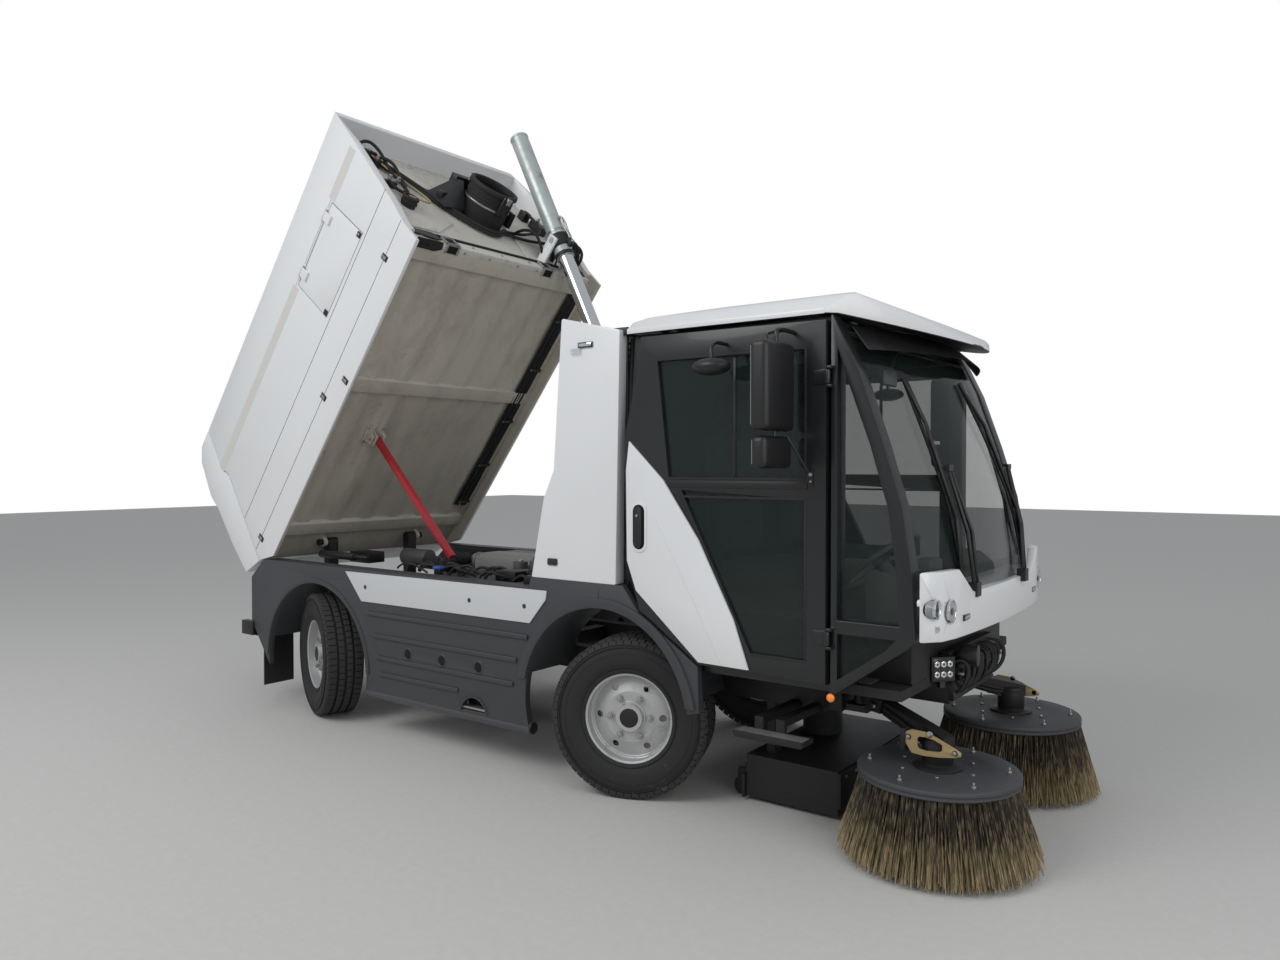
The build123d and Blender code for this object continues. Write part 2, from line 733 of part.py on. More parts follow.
for name, axle_x, side, steer in wheel_table:
    pin, outward, section, face = wheel_frame(axle_x, side, steer)
    with BuildPart() as knuckle:
        with BuildSketch(face.offset(upright_at)):
            Rectangle(90, 2 * knuckle_half)
        extrude(amount=upright_t)
        for z in (lug_z0, -knuckle_half):
            lug = Plane(origin=pin + Vector(0, 0, z), x_dir=face.x_dir, z_dir=(0, 0, 1))
            with BuildSketch(lug):
                with Locations((0, -16)):
                    Rectangle(76, 92)
            extrude(amount=knuckle_lug_t)
        with BuildSketch(Plane(origin=pin - Vector(0, 0, knuckle_half), x_dir=face.x_dir, z_dir=(0, 0, 1))):
            Circle(kingpin_r)
        extrude(amount=2 * knuckle_half)
        with BuildSketch(face.offset(upright_at)):
            Circle(spindle_r)
        extrude(amount=spindle_end - upright_at)
    save(knuckle, f"knuckle_{name}")
    with BuildPart() as rim:
        with BuildSketch(section):
            plain_face(rim_profile)
        revolve(axis=Axis(pin, outward))
        with BuildSketch(section):
            plain_face(disc_profile)
        revolve(axis=Axis(pin, outward))
        with BuildSketch(face.offset(90)):
            with PolarLocations(hand_hole_pcr, hand_hole_count):
                Circle(hand_hole_r)
        extrude(amount=70, mode=Mode.SUBTRACT)
    save(rim, f"rim_{name}")
    with BuildPart() as tyre:
        with BuildSketch(section):
            plain_face(tyre_profile)
        revolve(axis=Axis(pin, outward))
    save(tyre, f"tyre_{name}")

# Suction nozzle: a box open at the bottom, with the brackets of its rollers
with BuildPart() as suction_nozzle:
    box_between(nozzle_x0, nozzle_x1, -nozzle_half, nozzle_half, nozzle_z0, nozzle_z1)
    box_between(nozzle_x0 + nozzle_wall, nozzle_x1 - nozzle_wall, -nozzle_half + nozzle_wall,
                nozzle_half - nozzle_wall, nozzle_z0, nozzle_z1 - nozzle_wall, mode=Mode.SUBTRACT)
    for side in (-1, 1):
        for y in (side * 340, side * 412):
            box_between(roller_x - 16, nozzle_x0, y - 4, y + 4, roller_z - 14, roller_z + 90)
        y0, y1 = sorted((side * 336, side * 416))
        with BuildSketch(right(-y0)):
            with Locations((station(roller_x), roller_z)):
                Circle(roller_pin_r)
        extrude(amount=-(y1 - y0))
        # Drag links up to the rails
        y0, y1 = sorted((side * rail_y0, side * rail_y1))
        box_between(nozzle_x0 + 60, nozzle_x0 + 100, y0, y1, nozzle_z1, rail_z0)
    with BuildSketch(Plane.XY.offset(nozzle_z1 - nozzle_wall)):
        with Locations((station(620), duct_y)):
            Circle(tube_r - tube_wall)
    extrude(amount=nozzle_wall, mode=Mode.SUBTRACT)
save(suction_nozzle, "suction_nozzle")

with BuildPart() as nozzle_rollers:
    for side in (-1, 1):
        middle = side * 376
        with BuildSketch(right(-middle - roller_w / 2)):
            with Locations((station(roller_x), roller_z)):
                Circle(roller_r)
                Circle(roller_pin_r + running_fit, mode=Mode.SUBTRACT)
        extrude(amount=roller_w)
save(nozzle_rollers, "nozzle_rollers")

# Suction tube from the nozzle up behind the cab to the hopper's inlet
tube_points = [
    (station(620), duct_y, nozzle_z1), (station(620), duct_y, 330), (station(tube_up_x), duct_y, 700),
    (station(tube_up_x), duct_y, duct_z), (station(duct_front + 10), duct_y, duct_z),
]
with BuildPart() as suction_tube:
    with BuildLine():
        FilletPolyline(*tube_points, radius=(100, 150, 105))
    with BuildSketch(Plane(origin=tube_points[0], z_dir=(0, 0, 1))):
        Circle(tube_r)
        Circle(tube_r - tube_wall, mode=Mode.SUBTRACT)
    sweep()
save(suction_tube, "suction_tube")

# Sweep frame ahead of the rails, with a pin for each brush arm
with BuildPart() as sweep_frame:
    box_between(beam_x0, beam_x1, -beam_half, beam_half, beam_z0, beam_z1)
    for side in (-1, 1):
        y0, y1 = sorted((side * (arm_pivot_y - 40), side * (arm_pivot_y + 40)))
        for z in (beam_z0, beam_z1 - 30):
            box_between(beam_x1, arm_pivot_x + 40, y0, y1, z, z + 30)
        with BuildSketch(Plane.XY.offset(beam_z0)):
            with Locations((station(arm_pivot_x), side * arm_pivot_y)):
                Circle(arm_pin_r)
        extrude(amount=beam_z1 - beam_z0)
    box_between(beam_x1, beam_x1 + tow_reach + 30, -tow_half, tow_half, tow_z, tow_z + tow_t)
    with BuildSketch(Plane.XY.offset(tow_z)):
        with Locations((station(beam_x1 + tow_reach), 0)):
            Circle(tow_bore_r)
    extrude(amount=tow_t, mode=Mode.SUBTRACT)
    # Valve housing under the cab's nose, on two bars
    for side in (-1, 1):
        y0, y1 = sorted((side * 110, side * 150))
        box_between(beam_x1, housing_x0, y0, y1, housing_z0 + 15, housing_z0 + 55)
    box_between(housing_x0, housing_x1, -housing_half, housing_half, housing_z0, housing_z1)
    box_between(housing_x1 - 38, housing_x1, -housing_half, housing_half, housing_z1, housing_top)
save(sweep_frame, "sweep_frame")

# Brush arms, links and brushes, drawn on the right and mirrored
reach_x = brush_x - arm_pivot_x
reach_y = brush_y - arm_pivot_y
reach = math.hypot(reach_x, reach_y)
arm_dir = Vector(reach_x / reach, -reach_y / reach, 0)
arm_base = Vector(station(arm_pivot_x), -arm_pivot_y, 0)
arm_z0 = beam_z0 + 30 + moving_gap
arm_z1 = beam_z1 - 30 - moving_gap
arm_side_dir = Vector(-arm_dir.Y, arm_dir.X, 0)


def arm_level(z):
    """Level sketch plane whose x runs along the right arm from its pivot."""
    return Plane(origin=arm_base + Vector(0, 0, z), x_dir=arm_dir, z_dir=(0, 0, 1))


def arm_upright(offset):
    """Upright sketch plane (x along the arm, y up), offset to the arm's right."""
    return Plane(origin=arm_base, x_dir=arm_dir, z_dir=arm_side_dir * -1).offset(offset)


with BuildPart() as arm_right:
    with BuildSketch(arm_level(arm_z0)):
        Circle(arm_barrel_r)
    extrude(amount=arm_z1 - arm_z0)
    with BuildSketch(arm_level(arm_z0 + 5)):
        with Locations((60, 0)):
            Rectangle(120, 56)
    extrude(amount=48)
    for y in (-50, 36):
        with BuildSketch(arm_upright(y)):
            with Locations((128, lift_z)):
                Rectangle(96, 56)
        extrude(amount=14)
    with BuildSketch(arm_level(arm_z0 + 5)):
        with Locations((100, 0)):
            Rectangle(40, 100)
    extrude(amount=48)
    with BuildSketch(arm_upright(-50)):
        with Locations((lift_at, lift_z)):
            Circle(lift_pin_r)
    extrude(amount=100)
    with BuildSketch(arm_level(arm_z0)):
        Circle(arm_pin_r + running_fit)
    extrude(amount=arm_z1 - arm_z0, mode=Mode.SUBTRACT)
save(arm_right, "arm_right")

with BuildPart() as link_right:
    with BuildSketch(arm_upright(-30)):
        with Locations((lift_at, lift_z)):
            Circle(24)
        plain_face([(lift_at, lift_z - 24), (lift_at, lift_z + 24), (reach - 40, motor_top + 40),
                    (reach + motor_r, motor_top + 20), (reach + motor_r, motor_top - 30),
                    (reach - 40, motor_top - 40)])
    extrude(amount=60)
    with BuildSketch(arm_level(brush_disc_z + brush_disc_t + moving_gap)):
        with Locations((reach, 0)):
            Circle(motor_r)
    extrude(amount=motor_top - brush_disc_z - brush_disc_t - moving_gap)
    with BuildSketch(arm_upright(-30)):
        with Locations((lift_at, lift_z)):
            Circle(lift_pin_r + running_fit)
    extrude(amount=60, mode=Mode.SUBTRACT)
    with BuildSketch(arm_level(brush_disc_z + brush_disc_t + moving_gap)):
        with Locations((reach, 0)):
            Circle(brush_shaft_r + running_fit)
    extrude(amount=70, mode=Mode.SUBTRACT)
save(link_right, "link_right")

with BuildPart() as brush_right:
    brush_axis = Axis((station(brush_x), -brush_y, 0), (0, 0, 1))
    with BuildSketch(Plane(origin=(station(brush_x), -brush_y, 0), x_dir=(1, 0, 0), z_dir=(0, -1, 0))):
        plain_face([(0, brush_disc_z), (brush_disc_r, brush_disc_z),
                    (brush_disc_r, brush_disc_z + brush_disc_t), (brush_shaft_r, brush_disc_z + brush_disc_t),
                    (brush_shaft_r, brush_disc_z + brush_disc_t + 65), (0, brush_disc_z + brush_disc_t + 65)])
        plain_face([(brush_disc_r - bristle_top_w, brush_disc_z), (brush_disc_r, brush_disc_z),
                    (bristle_r, bristle_z), (bristle_r - bristle_foot_w, bristle_z)])
    revolve(axis=brush_axis)
save(brush_right, "brush_right")

for block, name in ((arm_right, "arm_left"), (link_right, "link_left"), (brush_right, "brush_left")):
    with BuildPart() as other:
        mirror(block.part, about=Plane.XZ)
    save(other, name)

# Doors with their skins, panes and mirrors
with BuildPart() as door_right:
    with BuildSketch(right(door_in)):
        side_face(door_outline)
    extrude(amount=door_out - door_in)
    for points in (door_window, door_low_window):
        with BuildSketch(right(door_in)):
            side_face(points)
        extrude(amount=door_out - door_in, mode=Mode.SUBTRACT)
    for z in hinge_heights:
        with BuildSketch(Plane.XY.offset(z - hinge_barrel_l / 2)):
            with Locations((station(hinge_x), -hinge_y)):
                Circle(hinge_barrel_r)
            with Locations((station(hinge_x - 30), -hinge_y + 4)):
                Rectangle(60, 7)
        extrude(amount=hinge_barrel_l)
        with BuildSketch(Plane.XY.offset(z - hinge_barrel_l / 2)):
            with Locations((station(hinge_x), -hinge_y)):
                Circle(hinge_pin_r + running_fit)
        extrude(amount=hinge_barrel_l, mode=Mode.SUBTRACT)
save(door_right, "door_right")

with BuildPart() as door_skin_right:
    with BuildSketch(right(door_out)):
        side_face(door_skin)
    extrude(amount=door_skin_t)
save(door_skin_right, "door_skin_right")

with BuildPart() as door_glass_right:
    for points in (door_window, door_low_window):
        with BuildSketch(right((door_in + door_out) / 2)):
            side_face(points)
        extrude(amount=glass_t)
save(door_glass_right, "door_glass_right")

with BuildPart() as mirrors_right:
    for x0, x1, out, y1, z0, z1 in mirror_blocks:
        box_between(x0, x1, -door_out - out, -door_out - y1, z0, z1)
save(mirrors_right, "mirrors_right")

for block, name in (
    (door_right, "door_left"),
    (door_skin_right, "door_skin_left"),
    (door_glass_right, "door_glass_left"),
    (mirrors_right, "mirrors_left"),
):
    with BuildPart() as other:
        mirror(block.part, about=Plane.XZ)
    save(other, name)

# Hopper frame of reference: x and z as if lowered, measured from the rear pin
tip = math.radians(tip_angle)
pin_point = Vector(station(pivot_x), 0, pivot_z)
hopper_forward = Vector(math.cos(tip), 0, math.sin(tip))
hopper_up = Vector(-math.sin(tip), 0, math.cos(tip))


def hopper_side(y):
    """Side sketch plane of the tipped hopper at y from the middle, facing the right."""
    return Plane(origin=pin_point, x_dir=hopper_forward, z_dir=(0, -1, 0)).offset(y)


def hopper_cross(x):
    """Cross sketch plane of the tipped hopper at a station: x is -Y, y is up."""
    origin = pin_point + hopper_forward * (x - pivot_x)
    return Plane(origin=origin, x_dir=(0, 1, 0), z_dir=hopper_forward)


def hopper_level(z):
    """Level sketch plane of the hopper: x forward from the pin, y to the left."""
    return Plane(origin=pin_point + hopper_up * (z - pivot_z), x_dir=hopper_forward, z_dir=hopper_up)


def lowered(points):
    """Points of the lowered hopper as offsets from its pin."""
    return [(x - pivot_x, z - pivot_z) for x, z in points]


def tipped(x, y, z):
    """Where a point of the lowered hopper is once tipped."""
    return pin_point + hopper_forward * (x - pivot_x) + hopper_up * (z - pivot_z) + Vector(0, y, 0)


def hopper_block(x0, x1, y0, y1, z0, z1, mode=Mode.ADD):
    """A box on the hopper from its lowered corners."""
    with BuildSketch(hopper_level(z0)) as base:
        with Locations(((x0 + x1) / 2 - pivot_x, (y0 + y1) / 2)):
            Rectangle(x1 - x0, y1 - y0)
    extrude(base.sketch, amount=z1 - z0, mode=mode)


def body_section(inset):
    """Cross section of the hopper and its tailgate, its sides leaning in above the crease."""
    half = half_width - inset
    lean = roof_half - inset
    top = roof_z - inset - pivot_z
    return [(-half, -200), (-half, crease_z - pivot_z), (-lean, top), (lean, top),
            (half, crease_z - pivot_z), (half, -200)]


tank_outline = hopper_front + hopper_seam + [hopper_rear_low]
with BuildPart() as tank_void:
    with BuildSketch(hopper_side(-half_width)):
        plain_face(lowered([
            (front_wall_low[0] - hopper_wall, floor_z + hopper_wall),
            (front_wall_high[0] - hopper_wall, roof_z - hopper_wall),
            (-3300, roof_z - hopper_wall), (-3300, floor_z + hopper_wall),
        ]))
    extrude(amount=2 * half_width)
    with BuildSketch(hopper_cross(-3300)):
        plain_face(body_section(hopper_wall))
    extrude(amount=3000, mode=Mode.INTERSECT)
with BuildPart() as front_void:
    with BuildSketch(hopper_side(-(half_width - front_flange))):
        plain_face(lowered([
            (front_wall_low[0], 900), (front_wall_low[0], floor_z), front_wall_high,
            (-200, front_wall_high[1]), (-200, 900),
        ]))
    extrude(amount=2 * (half_width - front_flange))
with BuildPart() as hopper_tank:
    with BuildSketch(hopper_side(-half_width)):
        plain_face(lowered(tank_outline))
    extrude(amount=2 * half_width)
    with BuildSketch(hopper_cross(-3300)):
        plain_face(body_section(0))
    extrude(amount=3200, mode=Mode.INTERSECT)
    add(tank_void.part, mode=Mode.SUBTRACT)
    add(front_void.part, mode=Mode.SUBTRACT)
    hopper_block(-3200, -400, -half_width + hopper_wall, half_width - hopper_wall, 800, floor_z,
                 mode=Mode.SUBTRACT)
    for x in floor_beams:
        hopper_block(x - floor_beam_w / 2, x + floor_beam_w / 2, -half_width + hopper_wall,
                     half_width - hopper_wall, floor_z - floor_beam_h, floor_z)
    # Corrugated floor
    for y in floor_ribs:
        with BuildSketch(hopper_cross(floor_rib_x0)):
            plain_face([(y - 60, floor_z - pivot_z), (y - 60, floor_z + 8 - pivot_z),
                        (y + 60, floor_z + 8 - pivot_z), (y + 60, floor_z - pivot_z),
                        (y + 30, floor_z - floor_rib_h - pivot_z),
                        (y - 30, floor_z - floor_rib_h - pivot_z)])
        extrude(amount=floor_rib_length)
    # Hinge lugs beside the chassis posts
    for side in (-1, 1):
        near, far = sorted((side * (rail_y1 + 8), side * (rail_y1 + 38)))
        with BuildSketch(hopper_side(-near)):
            with Locations((0, (floor_z - pivot_z) / 2)):
                Rectangle(2 * pivot_lug_r, floor_z - pivot_z)
            Circle(pivot_lug_r)
        extrude(amount=-(far - near))
        with BuildSketch(hopper_side(-near)):
            Circle(pivot_r + running_fit)
        extrude(amount=-(far - near), mode=Mode.SUBTRACT)
    # Ears for the ram's trunnion
    for y in (ram_y - trunnion_ear_in - trunnion_ear_t, ram_y + trunnion_ear_in):
        hopper_block(-590, ram_foot_x + 32, y, y + trunnion_ear_t, trunnion_z - 36, trunnion_z + 36)
        with BuildSketch(hopper_side(-y)):
            with Locations((ram_foot_x - pivot_x, trunnion_z - pivot_z)):
                Circle(trunnion_r + running_fit)
        extrude(amount=-trunnion_ear_t, mode=Mode.SUBTRACT)
    # Ears for the safety prop
    for y in (prop_y - 32, prop_y + 22):
        hopper_block(prop_x - 40, prop_x + 40, y, y + 10, prop_z - 24, floor_z)
        with BuildSketch(hopper_side(-y)):
            with Locations((prop_x - pivot_x, prop_z - pivot_z)):
                Circle(prop_pin_r + running_fit)
        extrude(amount=-10, mode=Mode.SUBTRACT)
    # Hatch opening on the right and the hatch's hinge pins
    hx0, hx1, hz0, hz1 = hatch_box
    hopper_block(hx0, hx1, -half_width - 10, -half_width + hopper_wall + 10, hz0, hz1, mode=Mode.SUBTRACT)
    hatch_axis_z = hz1 + 12
    hatch_axis_y = -half_width - hatch_barrel_r - 1
    for x in hatch_hinges:
        with BuildSketch(hopper_cross(x - hatch_barrel_l / 2 - 12)):
            with Locations((hatch_axis_y, hatch_axis_z - pivot_z)):
                Circle(hatch_hinge_r)
        extrude(amount=hatch_barrel_l + 24)
        for x0 in (x - hatch_barrel_l / 2 - 12, x + hatch_barrel_l / 2 + 2):
            hopper_block(x0, x0 + 10, hatch_axis_y - 6, -half_width, hatch_axis_z - 6, hatch_axis_z + 2)
    # Tailgate hinge pins on the roof's rear edge
    for side in (-1, 1):
        for y in (side * 560, side * 200):
            for y0 in (y - 42, y + 32):
                hopper_block(gate_hinge[0] - 10, -2700, y0, y0 + 10, gate_hinge[1] - 7, gate_hinge[1] + 10)
                hopper_block(-2732, -2700, y0, y0 + 10, roof_z - 10, gate_hinge[1] - 2)
            with BuildSketch(hopper_side(-(y - 42))):
                with Locations((gate_hinge[0] - pivot_x, gate_hinge[1] - pivot_z)):
                    Circle(gate_hinge_r)
            extrude(amount=-84)
save(hopper_tank, "hopper_tank")

# Air duct and inlet on the hopper's front wall
with BuildPart() as hopper_duct:
    with BuildSketch(hopper_cross(duct_front)):
        with Locations((duct_y, duct_z - pivot_z)):
            Circle(duct_r)
            Circle(duct_r - duct_wall, mode=Mode.SUBTRACT)
    extrude(amount=-260)
    with BuildSketch(hopper_cross(duct_front)):
        with Locations((duct_y, duct_z - pivot_z)):
            Circle(duct_r + 14)
            Circle(duct_r - duct_wall, mode=Mode.SUBTRACT)
    extrude(amount=-20)
    for y, z in ((-560, 1420), (600, 1330)):
        with BuildSketch(hopper_cross(-480)):
            with Locations((y, z - pivot_z)):
                Circle(port_r)
        extrude(amount=-100)
    with BuildSketch(hopper_side(-half_width)):
        plain_face(lowered([front_wall_low, front_wall_high, (-900, front_wall_high[1]),
                            (-900, front_wall_low[1])]))
    extrude(amount=2 * half_width, mode=Mode.SUBTRACT)
save(hopper_duct, "hopper_duct")

# Tailgate: a shell open towards the tank, hung from the roof's rear edge
gate_front = [(x - seam_gap, z) for x, z in hopper_seam]
gate_outline = gate_front + gate_back
gate_inner = [
    (-2600, roof_z - hopper_wall), (-2600, 1045), (gate_front[-1][0] + 4, gate_front[-1][1] + 28),
    (gate_back[0][0] + 30, gate_back[0][1] + 30),
] + [(x + hopper_wall, z) for x, z in gate_back[1:-1]] + [(gate_back[-1][0] + 15, roof_z - hopper_wall)]
with BuildPart() as gate_void:
    with BuildSketch(hopper_side(-half_width)):
        plain_face(lowered(gate_inner))
    extrude(amount=2 * half_width)
    with BuildSketch(hopper_cross(-3300)):
        plain_face(body_section(hopper_wall))
    extrude(amount=3000, mode=Mode.INTERSECT)
with BuildPart() as tailgate:
    with BuildSketch(hopper_side(-half_width)):
        plain_face(lowered(gate_outline))
    extrude(amount=2 * half_width)
    with BuildSketch(hopper_cross(-3300)):
        plain_face(body_section(0))
    extrude(amount=3200, mode=Mode.INTERSECT)
    add(gate_void.part, mode=Mode.SUBTRACT)
    for side in (-1, 1):
        for y in (side * 560, side * 200):
            with BuildSketch(hopper_side(-(y - 30))):
                with Locations((gate_hinge[0] - pivot_x, gate_hinge[1] - pivot_z)):
                    Circle(gate_barrel_r)
            extrude(amount=-60)
            hopper_block(gate_hinge[0] - 8, gate_hinge[0] + 14, y - 30, y + 30, roof_z - 12, gate_hinge[1] - 9)
            with BuildSketch(hopper_side(-(y - 30))):
                with Locations((gate_hinge[0] - pivot_x, gate_hinge[1] - pivot_z)):
                    Circle(gate_hinge_r + running_fit)
            extrude(amount=-60, mode=Mode.SUBTRACT)
save(tailgate, "tailgate")

# Side hatch in the hopper's right wall
with BuildPart() as hatch:
    hopper_block(hx0 + moving_gap, hx1 - moving_gap, -half_width, -half_width + hatch_t,
                 hz0 + moving_gap, hz1 - moving_gap)
    for x in hatch_hinges:
        with BuildSketch(hopper_cross(x - hatch_barrel_l / 2)):
            with Locations((hatch_axis_y, hatch_axis_z - pivot_z)):
                Circle(hatch_barrel_r)
        extrude(amount=hatch_barrel_l)
        hopper_block(x - hatch_barrel_l / 2, x + hatch_barrel_l / 2, hatch_axis_y - 3, hatch_axis_y + 2,
                     hz1 - 60, hatch_axis_z)
        hopper_block(x - hatch_barrel_l / 2, x + hatch_barrel_l / 2, hatch_axis_y - 3, -half_width + 4,
                     hz1 - 60, hz1 - 30)
        with BuildSketch(hopper_cross(x - hatch_barrel_l / 2)):
            with Locations((hatch_axis_y, hatch_axis_z - pivot_z)):
                Circle(hatch_hinge_r + running_fit)
        extrude(amount=hatch_barrel_l, mode=Mode.SUBTRACT)
save(hatch, "hatch")

# Telescopic ram at full reach, measured up its axis from the trunnion
trunnion = tipped(ram_foot_x, ram_y, trunnion_z)
ram_foot = Vector(station(ram_foot_x), ram_y, ram_foot_z)
ram_reach = (trunnion - ram_foot).length
ram_dir = (trunnion - ram_foot).normalized()
ram_closed = trunnion_z - ram_foot_z
stage_stroke = (ram_reach - ram_closed) / len(stage_r)


def ram_at(s):
    """Sketch plane across the ram, s up its axis from the trunnion."""
    return Plane(origin=trunnion + ram_dir * s, x_dir=(0, 1, 0), z_dir=ram_dir)


with BuildPart() as ram_barrel:
    with BuildSketch(ram_at(-barrel_below)):
        Circle(barrel_r)
    extrude(amount=barrel_below + barrel_above)
    cross_pin = Plane(origin=trunnion, x_dir=ram_dir, z_dir=(0, 1, 0))
    with BuildSketch(cross_pin.offset(-trunnion_ear_in - trunnion_ear_t - 2)):
        Circle(trunnion_r)
    extrude(amount=2 * (trunnion_ear_in + trunnion_ear_t + 2))
    with BuildSketch(ram_at(-barrel_below)):
        Circle(stage_r[0] + running_fit)
    extrude(amount=barrel_below + barrel_above - 20, mode=Mode.SUBTRACT)
save(ram_barrel, "ram_barrel")

stage_foot = -barrel_below
for index, radius in enumerate(stage_r):
    last = index == len(stage_r) - 1
    head = stage_foot + stage_overlap - stage_gap * index
    stage_foot = stage_foot - stage_step - stage_stroke
    foot = -ram_reach if last else stage_foot
    with BuildPart() as stage:
        with BuildSketch(ram_at(foot)):
            Circle(radius)
        extrude(amount=head - foot)
        if last:
            with BuildSketch(Plane(origin=ram_foot, x_dir=ram_dir, z_dir=(0, 1, 0)).offset(-eye_w / 2)):
                Circle(eye_r)
            extrude(amount=eye_w)
            with BuildSketch(Plane(origin=ram_foot, x_dir=ram_dir, z_dir=(0, 1, 0)).offset(-eye_w / 2)):
                Circle(eye_bore_r)
            extrude(amount=eye_w, mode=Mode.SUBTRACT)
        else:
            with BuildSketch(ram_at(foot)):
                Circle(stage_r[index + 1] + running_fit)
            extrude(amount=head - foot - 15, mode=Mode.SUBTRACT)
    save(stage, ("ram_stage_1", "ram_stage_2", "ram_rod")[index])

# Safety prop, hung from the hopper's floor with its foot above the chassis
prop_pin = tipped(prop_x, prop_y, prop_z)
lean = math.radians(prop_world_angle)
prop_dir = Vector(math.cos(lean), 0, math.sin(lean))
with BuildPart() as prop:
    with BuildSketch(Plane(origin=prop_pin, x_dir=prop_dir, z_dir=(0, -1, 0)).offset(-prop_w / 2)):
        with Locations((prop_length / 2, 0)):
            Rectangle(prop_length, prop_w)
        Circle(prop_w / 2)
    extrude(amount=prop_w)
    with BuildSketch(Plane(origin=prop_pin, x_dir=prop_dir, z_dir=(0, -1, 0)).offset(-35)):
        Circle(prop_pin_r)
    extrude(amount=70)
save(prop, "prop")
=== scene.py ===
"""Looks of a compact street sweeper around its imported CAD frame, laid out as a Blender add-on.

Pieces are modelled in millimetres: on the chassis from the front axle and the ground, on the
hopper as if it were lowered, and on a wheel from its kingpin with z along the spindle.
"""

import json
import math
import random
from itertools import pairwise

import bpy
from bpy.props import FloatProperty, FloatVectorProperty, IntProperty, PointerProperty
from mathutils import Matrix, Vector

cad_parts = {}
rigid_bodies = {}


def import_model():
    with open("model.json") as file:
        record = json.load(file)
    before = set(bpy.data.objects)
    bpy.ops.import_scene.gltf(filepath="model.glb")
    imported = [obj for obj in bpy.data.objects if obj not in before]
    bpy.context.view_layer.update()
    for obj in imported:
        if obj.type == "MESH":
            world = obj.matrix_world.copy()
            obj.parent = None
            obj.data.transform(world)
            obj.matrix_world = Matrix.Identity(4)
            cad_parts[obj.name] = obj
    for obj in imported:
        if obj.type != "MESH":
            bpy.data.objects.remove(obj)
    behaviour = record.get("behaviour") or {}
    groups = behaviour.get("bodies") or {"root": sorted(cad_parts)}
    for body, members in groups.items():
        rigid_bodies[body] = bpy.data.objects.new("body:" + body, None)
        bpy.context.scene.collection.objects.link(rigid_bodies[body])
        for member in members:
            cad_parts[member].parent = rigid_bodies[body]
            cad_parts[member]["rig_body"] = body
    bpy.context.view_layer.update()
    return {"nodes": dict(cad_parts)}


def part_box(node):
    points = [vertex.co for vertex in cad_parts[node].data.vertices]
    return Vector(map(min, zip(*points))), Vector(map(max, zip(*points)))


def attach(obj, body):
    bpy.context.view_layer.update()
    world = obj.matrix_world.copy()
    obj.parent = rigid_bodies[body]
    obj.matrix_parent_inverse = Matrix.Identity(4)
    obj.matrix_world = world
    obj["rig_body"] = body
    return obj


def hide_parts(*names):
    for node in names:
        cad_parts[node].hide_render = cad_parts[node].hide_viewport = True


bl_info = {
    "name": "Compact street sweeper",
    "version": (1, 0, 0),
    "blender": (4, 2, 0),
    "location": "View3D > Sidebar > Sweeper",
    "description": "Dresses the CAD frame of a compact street sweeper",
    "category": "Object",
}

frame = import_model()

# Places: millimetres from the front axle, and the tipped hopper about its rear pin
FRONT_AXLE_X = 0.9841
ROAD = Matrix.Translation((FRONT_AXLE_X, 0, 0)) @ Matrix.Scale(0.001, 4)
PIN = Vector((-2818, 0, 1015))
TIP_ANGLE = math.radians(52)
TIPPED = Matrix.Rotation(-TIP_ANGLE, 4, "Y")
HOPPER = ROAD @ Matrix.Translation(PIN) @ TIPPED @ Matrix.Translation(-PIN)
# Half the body's width, and how far the kingpins and the seats' middles are off the centre line
HALF, KINGPIN_Y, SEAT_Y = 800, 600, 360
# Wheels: corner, axle x, side and the spindle's outward direction as the machine stands
WHEELS = [
    ("front_right", 0, -1, (0.35837, -0.93358, 0)),
    ("front_left", 0, 1, (-0.35837, 0.93358, 0)),
    ("rear_right", -2300, -1, (-0.35837, -0.93358, 0)),
    ("rear_left", -2300, 1, (0.35837, 0.93358, 0)),
]
SIDES = [("right", -1), ("left", 1)]


def axle_place(axle_x, side, outward):
    """A wheel's own frame: its origin on the kingpin and its z along the spindle."""
    turn = Vector(outward).to_track_quat("Z", "Y").to_matrix().to_4x4()
    return ROAD @ Matrix.Translation((axle_x, side * KINGPIN_Y, TYRE_R)) @ turn


class Value:
    """One output of a material's node, for ordinary arithmetic."""

    def __init__(self, finish, socket):
        self.finish = finish
        self.socket = socket

    def sum_of(self, operation, first, second, clamp=False):
        terms = {0: first, 1: second}
        return self.finish.node("ShaderNodeMath", terms, operation=operation, use_clamp=clamp)

    def __add__(self, other):
        return self.sum_of("ADD", self, other)

    __radd__ = __add__

    def __sub__(self, other):
        return self.sum_of("SUBTRACT", self, other)

    def __rsub__(self, other):
        return self.sum_of("SUBTRACT", other, self)

    def __mul__(self, other):
        return self.sum_of("MULTIPLY", self, other)

    def clamped(self):
        return self.sum_of("ADD", self, 0.0, clamp=True)


finishes = {}


